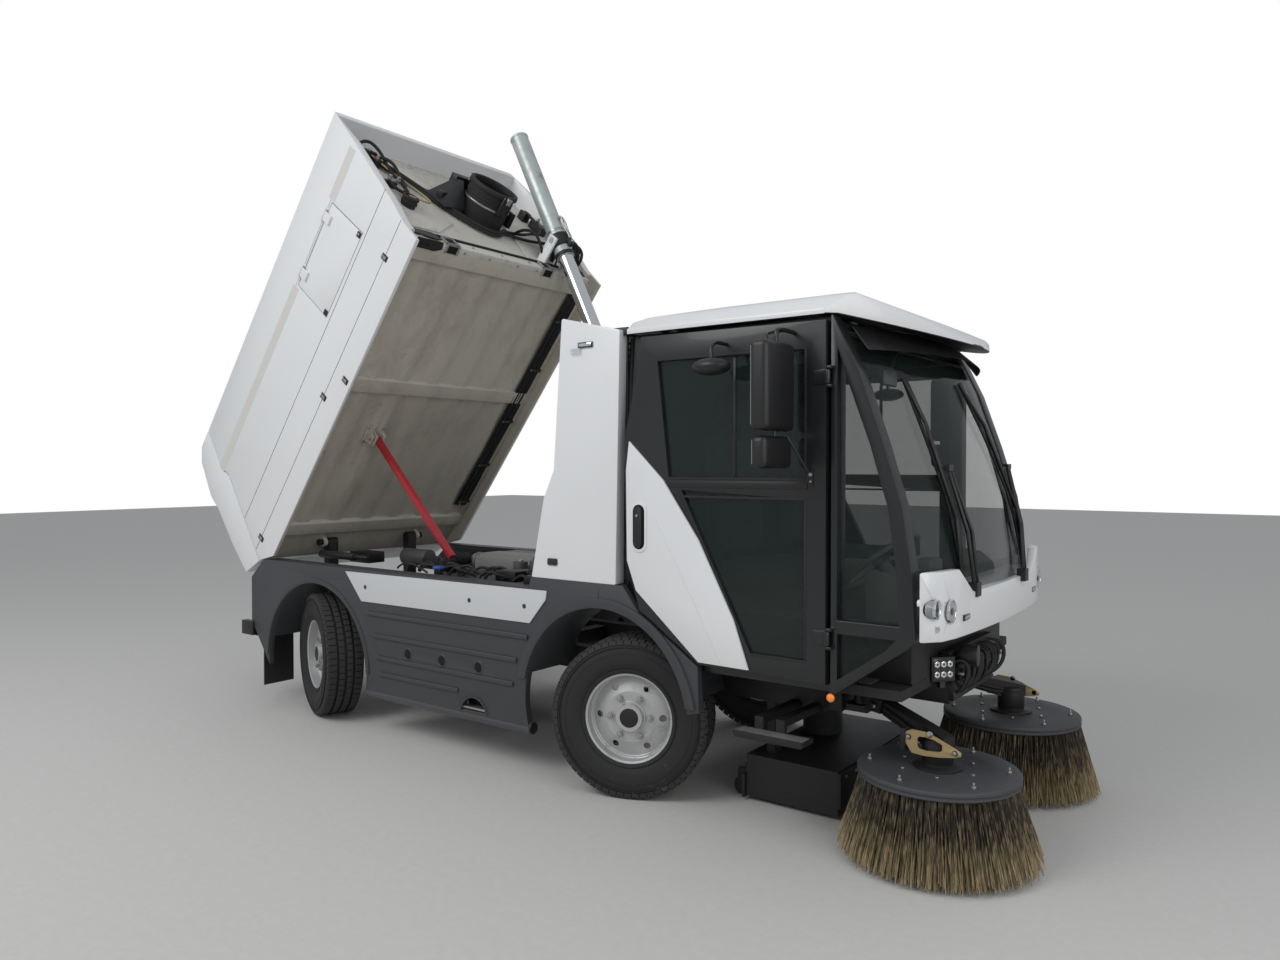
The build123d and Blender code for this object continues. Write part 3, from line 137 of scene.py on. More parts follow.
class Finish:
    """A material that is built from its Principled shader outwards."""

    def __init__(self, name, colour, roughness=0.5, metallic=0.0, coat=0.0, alpha=1.0, glow=0.0):
        self.material = finishes[name] = bpy.data.materials.new(name)
        self.material.use_nodes = True
        self.tree = self.material.node_tree
        self.shader = self.tree.nodes["Principled BSDF"]
        self.set("Base Color", colour)
        self.set("Roughness", roughness)
        self.set("Metallic", metallic)
        self.set("Coat Weight", coat)
        self.set("Alpha", alpha)
        if glow:
            self.set("Emission Color", colour)
            self.set("Emission Strength", glow)

    def link(self, socket, value):
        if isinstance(value, Value):
            self.tree.links.new(value.socket, socket)
        elif socket.type == "RGBA":
            socket.default_value = (*value[:3], 1)
        else:
            socket.default_value = value

    def set(self, name, value):
        self.link(self.shader.inputs[name], value)

    def node(self, kind, inputs=None, output=0, **settings):
        made = self.tree.nodes.new(kind)
        for name, value in settings.items():
            setattr(made, name, value)
        for name, value in (inputs or {}).items():
            self.link(made.inputs[name], value)
        return Value(self, made.outputs[output])

    def seat(self):
        return self.node("ShaderNodeTexCoord", output="Object")

    def height(self):
        return self.node("ShaderNodeSeparateXYZ", {0: self.seat()}, output="Z")

    def noise(self, scale, detail=4.0, stretch=(1, 1, 1), turn=(0, 0, 0), rough=0.55):
        """Noise in object coordinates, which are stretched and turned."""
        place = {"Vector": self.seat(), "Rotation": turn, "Scale": stretch}
        place = self.node("ShaderNodeMapping", place)
        inputs = {"Vector": place, "Scale": scale, "Detail": detail, "Roughness": rough}
        return self.node("ShaderNodeTexNoise", inputs)

    def step(self, value, low, high):
        """0 below low and 1 above high, smooth between."""
        inputs = {"Value": value, "From Min": low, "From Max": high}
        return self.node("ShaderNodeMapRange", inputs, interpolation_type="SMOOTHSTEP")

    def mix(self, share, first, second):
        inputs = {0: share, 6: first, 7: second}
        return self.node("ShaderNodeMix", inputs, output=2, data_type="RGBA")

    def relief(self, height, strength, distance=0.002):
        inputs = {"Strength": strength, "Distance": distance, "Height": height}
        self.set("Normal", self.node("ShaderNodeBump", inputs))


# Painted, moulded and cast surfaces: colour, roughness, metallic, coat, dirt colour, how much
# dirt lies on them, how much of it towards the ground, and the strength of their grain
SURFACES = {
    "white": ("white", 0.30, 0.0, 0.35, "dust", 0.10, 0.25, 0.02),
    "hopper_white": ("white", 0.36, 0.0, 0.25, "grime", 0.16, 0.0, 0.03),
    "wall_white": ("wall", 0.60, 0.0, 0.0, "grime", 0.55, 0.0, 0.15),
    "plate": ("plate", 0.38, 0.0, 0.2, "dust", 0.12, 0.0, 0.02),
    "anthracite": ("anthracite", 0.46, 0.0, 0.0, "dust", 0.05, 0.2, 0.22),
    "cab_black": ("cab_black", 0.34, 0.0, 0.15, "dust", 0.10, 0.25, 0.05),
    "black_plastic": ("black", 0.42, 0.0, 0.0, "dust", 0.05, 0.1, 0.18),
    "frame_black": ("frame", 0.52, 0.1, 0.0, "dust", 0.08, 0.3, 0.25),
    "rubber": ("rubber", 0.72, 0.0, 0.0, "dust", 0.06, 0.25, 0.25),
    "tread": ("tread", 0.88, 0.0, 0.0, "dust", 0.18, 0.2, 0.6),
    "engine_grey": ("engine_grey", 0.55, 0.3, 0.0, "grime", 0.45, 0.0, 0.3),
    "duct_grey": ("duct_grey", 0.50, 0.0, 0.0, "dust", 0.40, 0.0, 0.2),
    "duct_dark": ("duct_dark", 0.40, 0.1, 0.0, "dust", 0.10, 0.2, 0.1),
    "floor_black": ("floor", 0.75, 0.0, 0.0, "dust", 0.05, 0.0, 0.2),
    "rim": ("rim", 0.42, 0.45, 0.1, "grime", 0.40, 0.1, 0.12),
    "steel": ("steel", 0.38, 0.85, 0.0, "grime", 0.30, 0.0, 0.1),
    "axle": ("axle", 0.62, 0.4, 0.0, "rust", 0.45, 0.2, 0.35),
    "red": ("red", 0.38, 0.0, 0.2, "grime", 0.25, 0.0, 0.08),
    "tan": ("tan", 0.50, 0.1, 0.0, "grime", 0.35, 0.0, 0.12),
    "disc": ("disc", 0.60, 0.15, 0.0, "dust", 0.25, 0.0, 0.3),
    "cap_blue": ("blue", 0.45, 0.0, 0.0, "dust", 0.10, 0.0, 0.05),
    "grey_trim": ("grey_trim", 0.58, 0.0, 0.0, "dust", 0.10, 0.0, 0.2),
    "lining": ("lining", 0.70, 0.0, 0.0, "dust", 0.05, 0.0, 0.1),
    "cloth": ("cloth", 0.92, 0.0, 0.0, "dust", 0.15, 0.0, 0.5),
}


def make_surface(name, colours):
    colour, roughness, metallic, coat, dirt, amount, splash, grain = SURFACES[name]
    base, dirty = getattr(colours, colour), getattr(colours, dirt)
    finish = Finish(name, base, metallic=metallic, coat=coat)
    # Dirt lies where clouds and specks rise past a level, and splashes up from the ground
    cloud = finish.noise(2.4, 7.0, rough=0.65)
    speck = finish.noise(38.0, 4.0)
    low = 1.0 - finish.step(finish.height(), 0.05, 0.85)
    level = 0.78 - amount * 0.42
    share = (cloud * 0.7 + speck * 0.35 + low * speck * splash * 0.7 - level) * 4.0
    share = share.clamped() * 0.75
    finish.set("Base Color", finish.mix(share, base, dirty))
    finish.set("Roughness", share * 0.25 + roughness + (cloud - 0.5) * 0.12)
    finish.relief(finish.noise(420.0, 2.0), grain, 0.001)


def make_underside(colours):
    """The hopper's floor: beige primer with grime run down it and rust in patches."""
    finish = Finish("underside", colours.beige)
    run = finish.noise(5.0, 8.0, (0.25, 1.6, 1.0), (0, TIP_ANGLE, 0), 0.7)
    patch = finish.noise(1.3, 5.0)
    fleck = finish.noise(26.0, 5.0)
    grime = ((run * 0.8 + patch * 0.5 - 0.62) * 3.2).clamped() * 0.55
    rust = ((fleck * 0.7 + patch * 0.45 - 0.70) * 7.0).clamped() * 0.6
    stained = finish.mix(grime, colours.beige, colours.stain)
    finish.set("Base Color", finish.mix(rust, stained, colours.rust))
    finish.set("Roughness", 0.58 + grime * 0.3)
    finish.relief(fleck, 0.25)


def make_barrel(colours):
    """The ram's barrel: pale zinc paint, dulled and rusted in bands."""
    finish = Finish("barrel", colours.barrel, metallic=0.35)
    cloud = finish.noise(9.0, 8.0, rough=0.7)
    streak = finish.noise(16.0, 5.0, (1, 1, 0.3))
    dull = ((cloud * 0.9 - 0.42) * 4.0).clamped() * 0.55
    rust = ((cloud * 0.55 + streak * 0.6 - 0.68) * 9.0).clamped()
    faded = finish.mix(dull, colours.barrel, colours.barrel_dull)
    finish.set("Base Color", finish.mix(rust, faded, colours.rust))
    finish.set("Roughness", 0.36 + dull * 0.35)
    finish.relief(cloud, 0.15)


def make_bristle(colours):
    """Straw bristles, pale at the worn tip and darkened towards the root with painted shade from
    the disc above, with a random tone from hair to hair.
    """
    finish = Finish("bristle", colours.straw, roughness=0.78)
    hair = finish.noise(95.0, 2.0, (1, 1, 0.08))
    # Painted shade: 1 at the tips by the ground, falling to 0 higher up towards the disc
    tip = 1.0 - finish.step(finish.height(), 0.01, 0.27)
    shade = (tip * 0.75 + (hair - 0.5) * 1.9).clamped()
    finish.set("Base Color", finish.mix(shade, colours.straw_shade, colours.straw))


def make_tread_plate(colours):
    """Aluminium step with raised bars."""
    finish = Finish("step_plate", colours.steel, metallic=0.8, roughness=0.45)
    bars = finish.noise(60.0, 1.0, (1.0, 3.0, 1.0), (0, 0, 0.8))
    finish.relief(finish.step(bars, 0.5, 0.56), 0.9)


def colour(label, default):
    return FloatVectorProperty(name=label, default=default, subtype="COLOR", min=0, max=1)


class SweeperColours(bpy.types.PropertyGroup):
    """Colours of the sweeper's surfaces, in linear light"""

    white: colour("Painted cab, towers and hopper", (0.78, 0.79, 0.80))
    wall: colour("Hopper's front wall", (0.60, 0.58, 0.53))
    plate: colour("Plain plate on the side", (0.60, 0.61, 0.62))
    anthracite: colour("Moulded side bodies", (0.045, 0.048, 0.053))
    cab_black: colour("Painted cab frame and doors", (0.012, 0.013, 0.014))
    black: colour("Mirrors, trim and covers", (0.012, 0.012, 0.013))
    frame: colour("Painted chassis and arms", (0.014, 0.014, 0.015))
    rubber: colour("Tyre walls, hoses and gaskets", (0.016, 0.016, 0.017))
    tread: colour("Running surface of the tyres", (0.035, 0.034, 0.033))
    engine_grey: colour("Engine block and housings", (0.10, 0.10, 0.10))
    duct_grey: colour("Grey air housing", (0.20, 0.20, 0.19))
    duct_dark: colour("Grey sill tubes", (0.075, 0.078, 0.085))
    floor: colour("Cab floor and mats", (0.018, 0.018, 0.018))
    rim: colour("Silver paint of the rims", (0.50, 0.50, 0.50))
    steel: colour("Bare nuts, bolts and pins", (0.42, 0.42, 0.41))
    chrome: colour("Chromed stages of the ram", (0.72, 0.73, 0.75))
    axle: colour("Axles and knuckles", (0.030, 0.028, 0.026))
    red: colour("Red safety prop", (0.42, 0.018, 0.026))
    tan: colour("Tan links of the brush arms", (0.40, 0.29, 0.14))
    disc: colour("Discs of the side brushes", (0.060, 0.064, 0.070))
    blue: colour("Filler cap", (0.02, 0.10, 0.34))
    grey_trim: colour("Grey dashboard moulding", (0.16, 0.17, 0.165))
    lining: colour("Lining of the cab", (0.040, 0.041, 0.042))
    cloth: colour("Seat cloth", (0.055, 0.060, 0.068))
    beige: colour("Hopper's floor", (0.56, 0.52, 0.44))
    stain: colour("Grime on the hopper's floor", (0.26, 0.22, 0.17))
    barrel: colour("Zinc paint of the ram", (0.50, 0.55, 0.54))
    barrel_dull: colour("Faded paint of the ram", (0.30, 0.33, 0.31))
    straw: colour("Bristle tips", (0.42, 0.33, 0.18))
    # Painted shade of the bristles near their roots, under the disc
    straw_shade: colour("Bristle roots", (0.035, 0.028, 0.018))
    dust: colour("Pale road dust", (0.30, 0.27, 0.23))
    grime: colour("Oily dirt", (0.13, 0.11, 0.085))
    rust: colour("Rust", (0.16, 0.055, 0.022))
    tint: colour("Tint of the windows", (0.020, 0.030, 0.028))
    amber: colour("Side marker lamps", (0.85, 0.24, 0.03))


class SweeperSizes(bpy.types.PropertyGroup):
    """Sizes of details that a user may change"""

    panel_radius: FloatProperty(
        name="Panel radius",
        description="Rounding of the large panels' edges",
        default=0.004,
        min=0.0005,
        max=0.01,
        unit="LENGTH",
    )
    lugs: IntProperty(
        name="Tread blocks", description="Blocks round a tyre", default=60, min=30, max=90
    )
    tufts: IntProperty(
        name="Bristle tufts", description="Tufts round a brush", default=41, min=20, max=60
    )
    glass_alpha: FloatProperty(
        name="Glass opacity",
        description="How much one face of a window hides",
        default=0.30,
        min=0.0,
        max=1.0,
        subtype="FACTOR",
    )


class SweeperStage(bpy.types.PropertyGroup):
    """Floor, light and camera"""

    floor: colour("Pale floor", (0.62, 0.61, 0.59))
    sky: FloatProperty(
        name="Sky", description="Strength of the surrounding light", default=0.50, min=0, max=3
    )
    key: FloatProperty(
        name="Key", description="Power of the main lamp", default=260, min=0, unit="POWER"
    )
    fill: FloatProperty(
        name="Fill", description="Power of the fill lamp", default=70, min=0, unit="POWER"
    )


def mode(name):
    bpy.ops.object.mode_set(mode=name)


def add(name, data):
    """A new object in the scene."""
    made = bpy.data.objects.new(name, data)
    bpy.context.scene.collection.objects.link(made)
    return made


def activate(obj):
    """Makes an object the active one, and the only one that is selected."""
    for other in list(bpy.context.selected_objects):
        other.select_set(False)
    bpy.context.view_layer.objects.active = obj
    obj.select_set(True)


def apply_modifier(obj, kind, **settings):
    made = obj.modifiers.new(kind.title(), kind)
    for name, value in settings.items():
        setattr(made, name, value)
    bpy.ops.object.modifier_apply(modifier=made.name)


def bevel_edges(obj, width, segments, angle, clamp):
    """Rounds the edges where faces meet at more than an angle in degrees."""
    apply_modifier(obj, "BEVEL", width=width, segments=segments, limit_method="ANGLE",
                   angle_limit=math.radians(angle), use_clamp_overlap=clamp)


def settle(obj, body, slot=None, stands_for=(), smooth=35):
    """Shades a finished piece and lets it ride on its body."""
    activate(obj)
    bpy.ops.object.shade_smooth_by_angle(angle=math.radians(smooth))
    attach(obj, body)
    if stands_for:
        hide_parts(*stands_for)
    return obj


class Workpiece:
    """A mesh that is modelled in edit mode in millimetres, and then placed."""

    def __init__(self, name, finish, place=ROAD):
        self.object = add(name, bpy.data.meshes.new(name))
        activate(self.object)
        self.place = place
        self.used = []
        mode("EDIT")
        self.use(finish)

    def use(self, finish):
        """What is modelled next has this finish."""
        if finish not in self.used:
            self.used.append(finish)
            self.object.data.materials.append(finishes[finish])
        self.object.active_material_index = self.used.index(finish)
        return self

    def paint(self):
        bpy.ops.object.material_slot_assign()

    def box(self, low, high, turn=(0, 0, 0)):
        low, high = Vector(low), Vector(high)
        bpy.ops.mesh.primitive_cube_add(
            size=1, location=(low + high) / 2, rotation=turn, scale=high - low
        )
        self.paint()

    def rod(self, start, end, radius, sides=16, tip=None):
        start, end = Vector(start), Vector(end)
        run = end - start
        bpy.ops.mesh.primitive_cone_add(
            vertices=sides,
            radius1=radius,
            radius2=radius if tip is None else tip,
            depth=run.length,
            location=(start + end) / 2,
            rotation=run.to_track_quat("Z", "Y").to_euler(),
        )
        self.paint()

    def ball(self, centre, radius, scale=(1, 1, 1), sides=16):
        bpy.ops.mesh.primitive_uv_sphere_add(
            segments=sides, ring_count=sides // 2, radius=radius, location=centre, scale=scale
        )
        self.paint()

    def chain(self, points):
        """A run of edges from point to point, which ends up selected."""
        points = [Vector(p) for p in points]
        bpy.ops.mesh.primitive_plane_add(size=1, location=points[0])
        bpy.ops.mesh.merge(type="CENTER")
        for here, there in pairwise(points):
            bpy.ops.mesh.extrude_region_move(TRANSFORM_OT_translate={"value": there - here})
        bpy.ops.mesh.select_linked()

    def plate(self, points, depth):
        """A flat plate from its outline, made solid along depth."""
        self.chain(points)
        bpy.ops.mesh.edge_face_add()
        self.paint()
        bpy.ops.mesh.extrude_region_move(TRANSFORM_OT_translate={"value": Vector(depth)})
        bpy.ops.mesh.select_linked()
        self.paint()

    def lathe(self, profile, steps=48, centre=(0, 0, 0), axis=(0, 0, 1)):
        """A turned solid about an axis from its (radius, along) profile."""
        axis, centre = Vector(axis).normalized(), Vector(centre)
        across = axis.orthogonal().normalized()
        self.chain([centre + across * r + axis * z for r, z in profile])
        bpy.ops.mesh.spin(steps=steps, angle=math.tau, center=centre, axis=axis)
        bpy.ops.mesh.select_linked()
        bpy.ops.mesh.remove_doubles(threshold=0.01)
        self.paint()

    def around(self, count):
        """Copies all that is modelled so far round the z axis."""
        mode("OBJECT")
        guide = add("guide", None)
        guide.rotation_euler = (0, 0, math.tau / count)
        bpy.context.view_layer.update()
        apply_modifier(self.object, "ARRAY", count=count, use_relative_offset=False,
                       use_object_offset=True, offset_object=guide)
        bpy.data.objects.remove(guide)
        mode("EDIT")

    def finish(self, body, slot=None, both=False, bevel=0.0, segments=2, **more):
        """Mirrors, places and rounds the piece, and lets it ride on its body."""
        mode("OBJECT")
        if both:
            apply_modifier(self.object, "MIRROR", use_axis=(False, True, False))
        self.object.matrix_world = self.place
        bpy.ops.object.transform_apply(location=True, rotation=True, scale=True)
        mode("EDIT")
        bpy.ops.mesh.select_all(action="SELECT")
        bpy.ops.mesh.normals_make_consistent(inside=False)
        mode("OBJECT")
        if bevel:
            bevel_edges(self.object, bevel / 1000, segments, 35, True)
        return settle(self.object, body, slot, **more)


def soften(node, finish, width, slot, others=(), rule=None):
    """A copy of a CAD node with rounded edges, which stands for it and stays in its box.

    rule(centre, normal) gives a face, in the node's own metres, 0 or a place in others from 1.
    """
    source = frame["nodes"][node]
    piece = add(node + "_looks", source.data.copy())
    piece.data.materials.clear()
    for worn in (finish, *others):
        piece.data.materials.append(finishes[worn])
    activate(piece)
    bpy.ops.mesh.customdata_custom_splitnormals_clear()
    mode("EDIT")
    bpy.ops.mesh.select_all(action="SELECT")
    bpy.ops.mesh.remove_doubles(threshold=0.00002)
    mode("OBJECT")
    bevel_edges(piece, width, 2, 32, False)
    low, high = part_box(node)
    for point in piece.data.vertices:
        for axis in range(3):
            point.co[axis] = min(max(point.co[axis], low[axis]), high[axis])
    if rule:
        for face in piece.data.polygons:
            face.material_index = rule(face.center, face.normal)
    settle(piece, source["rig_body"], slot, (node,), 30)


# Simulating a pad: its voxels, its resting layer and how far a point may swell, in metres, the
# pressure in it and the number of steps
VOXEL, RESTING, SWELL = 0.011, 0.004, 0.013
PRESSURE, CLOTH_STEPS = 4, 20


def swell(pad, rest):
    """Blows a pad up as cloth. It is held where it rests, on its low side of an axis."""
    apply_modifier(pad, "REMESH", mode="VOXEL", voxel_size=VOXEL)
    start = [point.co.copy() for point in pad.data.vertices]
    low = min(point[rest] for point in start)
    resting = [n for n, point in enumerate(start) if point[rest] < low + RESTING]
    pad.vertex_groups.new(name="rest").add(resting, 1.0, "REPLACE")
    cloth = pad.modifiers.new("Cloth", "CLOTH")
    cloth.settings.use_pressure = True
    cloth.settings.uniform_pressure_force = PRESSURE
    cloth.settings.vertex_group_mass = "rest"
    cloth.settings.effector_weights.gravity = 0
    cloth.point_cache.frame_end = CLOTH_STEPS
    for step in range(1, CLOTH_STEPS + 1):
        bpy.context.scene.frame_set(step)
    swollen = pad.evaluated_get(bpy.context.evaluated_depsgraph_get()).data
    moved = [point.co - start[n] for n, point in enumerate(swollen.vertices)]
    pad.modifiers.remove(cloth)
    pad.vertex_groups.clear()
    bpy.context.scene.frame_set(1)
    for point, at, way in zip(pad.data.vertices, start, moved):
        point.co = at + way * min(1.0, SWELL / max(way.length, 1e-6))


# Sewn channels: depth and width in metres
CHANNEL_DEPTH, CHANNEL_WIDTH = 0.007, 0.009


def sew(pad, rest, channels):
    """Presses sewn channels into a pad, on the side away from where it rests.

    A channel is (axis, place on it, other axis, its start, its end), in millimetres.
    """
    apply_modifier(pad, "SUBSURF", levels=1, render_levels=1)
    facing = [point.normal.copy() for point in pad.data.vertices]
    for point, out in zip(pad.data.vertices, facing):
        pressed = 0.0
        for across, place, along, start, end in channels:
            past = max(start / 1000 - point.co[along], point.co[along] - end / 1000, 0)
            off = math.hypot(point.co[across] - place / 1000, past)
            pressed = max(pressed, math.exp(-((off / CHANNEL_WIDTH) ** 2)))
        point.co -= out * CHANNEL_DEPTH * pressed * max(0.0, min(1.0, out[rest] * 2))


def hoses(name, body, finish, runs, place=ROAD):
    """Fixed pipes and hoses, each a smooth line through its points with its own radius."""
    curve = bpy.data.curves.new(name, "CURVE")
    curve.dimensions = "3D"
    curve.bevel_depth = 0.001
    curve.bevel_resolution = 3
    curve.resolution_u = 8
    curve.use_fill_caps = True
    for radius, points in runs:
        line = curve.splines.new("NURBS")
        line.points.add(len(points) - 1)
        for knot, at in zip(line.points, points):
            knot.co = (*(place @ Vector(at)), 1)
            knot.radius = radius
        line.order_u = 3
        line.use_endpoint_u = True
    piece = add(name, curve)
    curve.materials.append(finishes[finish])
    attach(piece, body)


# The slots that wear a finish of another name
FINISH_OF_SLOT = {
    "white_panel": "white", "dark_panel": "anthracite", "plate_white": "plate",
    "seat_cloth": "cloth", "lamp": "lens", "axle_black": "axle", "rim_silver": "rim",
    "tyre": "rubber", "chrome_rod": "chrome", "barrel_worn": "barrel", "prop_red": "red",
    "link_tan": "tan", "hose_black": "rubber",
}


class SWEEPER_OT_finishes(bpy.types.Operator):
    """Make the materials and give them to the CAD nodes"""

    bl_idname = "sweeper.finishes"
    bl_label = "Finishes"

    def execute(self, context):
        colours = context.scene.sweeper_colours
        for name in SURFACES:
            make_surface(name, colours)
        make_underside(colours)
        make_barrel(colours)
        make_bristle(colours)
        make_tread_plate(colours)
        Finish("chrome", colours.chrome, 0.12, metallic=1.0)
        Finish("glass", colours.tint, 0.03, alpha=context.scene.sweeper_sizes.glass_alpha)
        Finish("door_glass", colours.tint, 0.03, alpha=0.5)
        Finish("lens", (0.75, 0.78, 0.80), 0.05, coat=1.0, alpha=0.35)
        Finish("mirror", (0.80, 0.82, 0.84), 0.02, metallic=1.0)
        Finish("amber", colours.amber, 0.25, coat=0.5, glow=0.15)
        Finish("lamp_black", (0.01, 0.01, 0.01), 0.15, coat=0.6)
        Finish("seam", (0.05, 0.05, 0.052), 0.8)
        # The crease finish is painted shade: a greyer white for the bands at the hopper walls'
        # bends
        Finish("crease", (0.66, 0.645, 0.615), 0.4, coat=0.3)
        # Near-black painted shade, which fills openings, slots and recesses
        Finish("hollow_shade", (0.004, 0.004, 0.004), 0.9)
        for name, node in frame["nodes"].items():
            for seat in node.material_slots:
                slot = seat.material.name.split(".")[0]
                finish = FINISH_OF_SLOT.get(slot, slot)
                if name.startswith("link_"):
                    finish = "frame_black"
                if name.startswith("door_glass"):
                    finish = "door_glass"
                seat.material = finishes[finish]
        return {"FINISHED"}


class SWEEPER_OT_shells(bpy.types.Operator):
    """Round the edges of the large panels and housings"""

    bl_idname = "sweeper.shells"
    bl_label = "Panels"

    def execute(self, context):
        radius = context.scene.sweeper_sizes.panel_radius
        # CAD node, finish, rounding as a share of the panel radius, slot
        for node, finish, share, slot in [
            ("side_bodies", "anthracite", 0.3, "dark_panel"),
            ("side_plates", "plate", 0.25, "plate_white"),
            ("rear_bumper", "black_plastic", 0.8, "dark_panel"),
            ("engine", "engine_grey", 1.5, "engine_grey"),
            ("air_duct", "duct_grey", 1.5, "duct_grey"),
            ("towers", "white", 2.2, "white_panel"),
            ("cab_frame", "cab_black", 0.8, "cab_black"),
            ("nose", "white", 1.5, "white_panel"),
            ("door_right", "cab_black", 0.8, "cab_black"),
            ("door_left", "cab_black", 0.8, "cab_black"),
            ("door_skin_right", "white", 0.8, "white_panel"),
            ("door_skin_left", "white", 0.8, "white_panel"),
            ("hatch", "hopper_white", 0.5, "hopper_white"),
            ("tailgate", "hopper_white", 0.4, "hopper_white"),
            ("prop", "red", 0.4, "prop_red"),
            ("sweep_frame", "frame_black", 0.6, "frame_black"),
        ]:
            soften(node, finish, radius * share, slot)
        inverse = HOPPER.inverted()
        turned = inverse.to_3x3().normalized()

        def tank_part(centre, normal):
            """1 for the floor, 2 for the front wall and 0 for the rest, on the lowered hopper."""
            at, facing = inverse @ centre, turned @ normal
            if at.z < 1053 and abs(at.y) < 785 and facing.z < 0.5 and abs(facing.x) < 0.95:
                return 1
            return 2 if facing.x > 0.9 and abs(at.y) < 750 and at.x < -440 else 0

        soften("hopper_tank", "hopper_white", radius, "hopper_white",
               ("underside", "wall_white"), tank_part)
        soften("dashboard", "grey_trim", radius * 2, "cab_black",
               ("frame_black",), lambda centre, normal: int(centre.z < 0.98))
        soften("cab_roof", "white", radius, "white_panel",
               ("black_plastic",), lambda centre, normal: int(normal.z < -0.25))
        return {"FINISHED"}


# A tyre's outline, radius and place across it, up to its middle and mirrored past it
TYRE_HALF = [
    (206, -92), (216, -99), (224, -101), (228, -96), (240, -104), (262, -110), (292, -112.5),
    (322, -110), (340, -104), (352, -99), (358, -92), (363, -80), (363, -52), (355, -50),
    (355, -42), (363, -40), (364, -6), (356, -4),
]
TYRE_PROFILE = [*TYRE_HALF, *((r, -z) for r, z in reversed(TYRE_HALF)), TYRE_HALF[0]]
TYRE_CENTRE, TYRE_R = 88, 372
# Tread blocks: from and to across the tyre, their foot and top, and the gap between them
TREAD_ROWS = [(-98, -54), (-39, -8), (8, 39), (54, 98)]
TREAD_FOOT, TREAD_TOP, TREAD_GAP = 358, 371.4, 5


class SWEEPER_OT_wheels(bpy.types.Operator):
    """Model the tyres with their tread, and the nuts and caps of the rims"""

    bl_idname = "sweeper.wheels"
    bl_label = "Wheels"

    def tyre(self, corner, place, lugs):
        piece = Workpiece("tread_" + corner, "tread", place)
        half = (math.tau * TYRE_R / lugs - TREAD_GAP) / 2
        for number, (near, far) in enumerate(TREAD_ROWS):
            slip = 0.35 * math.tau / lugs * (number % 2)
            piece.box((TREAD_FOOT, -half, TYRE_CENTRE + near),
                      (TREAD_TOP, half, TYRE_CENTRE + far))
            bpy.ops.transform.rotate(value=-slip, orient_axis="Z", center_override=(0, 0, 0))
            if number in (0, len(TREAD_ROWS) - 1):
                side = math.copysign(1, near)
                piece.box((340, -half, TYRE_CENTRE + side * 94),
                          (362, half, TYRE_CENTRE + side * 105), (0, side * 0.3, 0))
        piece.around(lugs)
        piece.finish("wheel_" + corner, "tyre", bevel=1.6, segments=1)
        wall = Workpiece("tyre_wall_" + corner, "rubber", place)
        wall.lathe([(r, z + TYRE_CENTRE) for r, z in TYRE_PROFILE], 72)
        for side in (-1, 1):
            for ring in (300, 330):
                wall.lathe([
                    (ring, TYRE_CENTRE + side * 108), (ring + 1, TYRE_CENTRE + side * 113.4),
                    (ring + 4, TYRE_CENTRE + side * 113), (ring + 5, TYRE_CENTRE + side * 107),
                ], 72)
        wall.finish("wheel_" + corner, "tyre", stands_for=("tyre_" + corner,))

    def hub(self, corner, place):
        nuts = Workpiece("wheel_nuts_" + corner, "steel", place)
        for low, high, radius, sides in [(144, 149, 18, 20), (148, 165, 14, 6), (164, 172, 7, 12)]:
            nuts.rod((96, 0, low), (96, 0, high), radius, sides)
        nuts.around(6)
        nuts.finish("wheel_" + corner, "rim_silver", bevel=1.2)
        cap = Workpiece("hub_cap_" + corner, "black_plastic", place)
        cap.lathe([(0, 176), (34, 175), (52, 170), (60, 160), (62, 140), (0, 140)], 32)
        cap.use("rim")
        cap.lathe([(64, 144), (64, 152), (74, 150), (76, 144)], 48)
        cap.lathe([(188, 120), (190, 126), (196, 126), (198, 120)], 60)
        cap.use("steel").rod((176, 0, 118), (184, 0, 136), 4, 10)
        cap.finish("wheel_" + corner, "rim_silver", bevel=1.0)

    def execute(self, context):
        lugs = context.scene.sweeper_sizes.lugs
        for corner, axle_x, side, outward in WHEELS:
            place = axle_place(axle_x, side, outward)
            self.tyre(corner, place, lugs)
            self.hub(corner, place)
        return {"FINISHED"}


# Side brushes: their middle on the left, the rings of their tufts and the tufts' roots
BRUSH_X, BRUSH_Y = 1410, 520
TUFT_RINGS, TUFT_ROOT = (252, 274, 294), 318


def polar(radius, turn, z):
    """A point about a brush's axis."""
    return Vector((radius * math.cos(turn), radius * math.sin(turn), z))


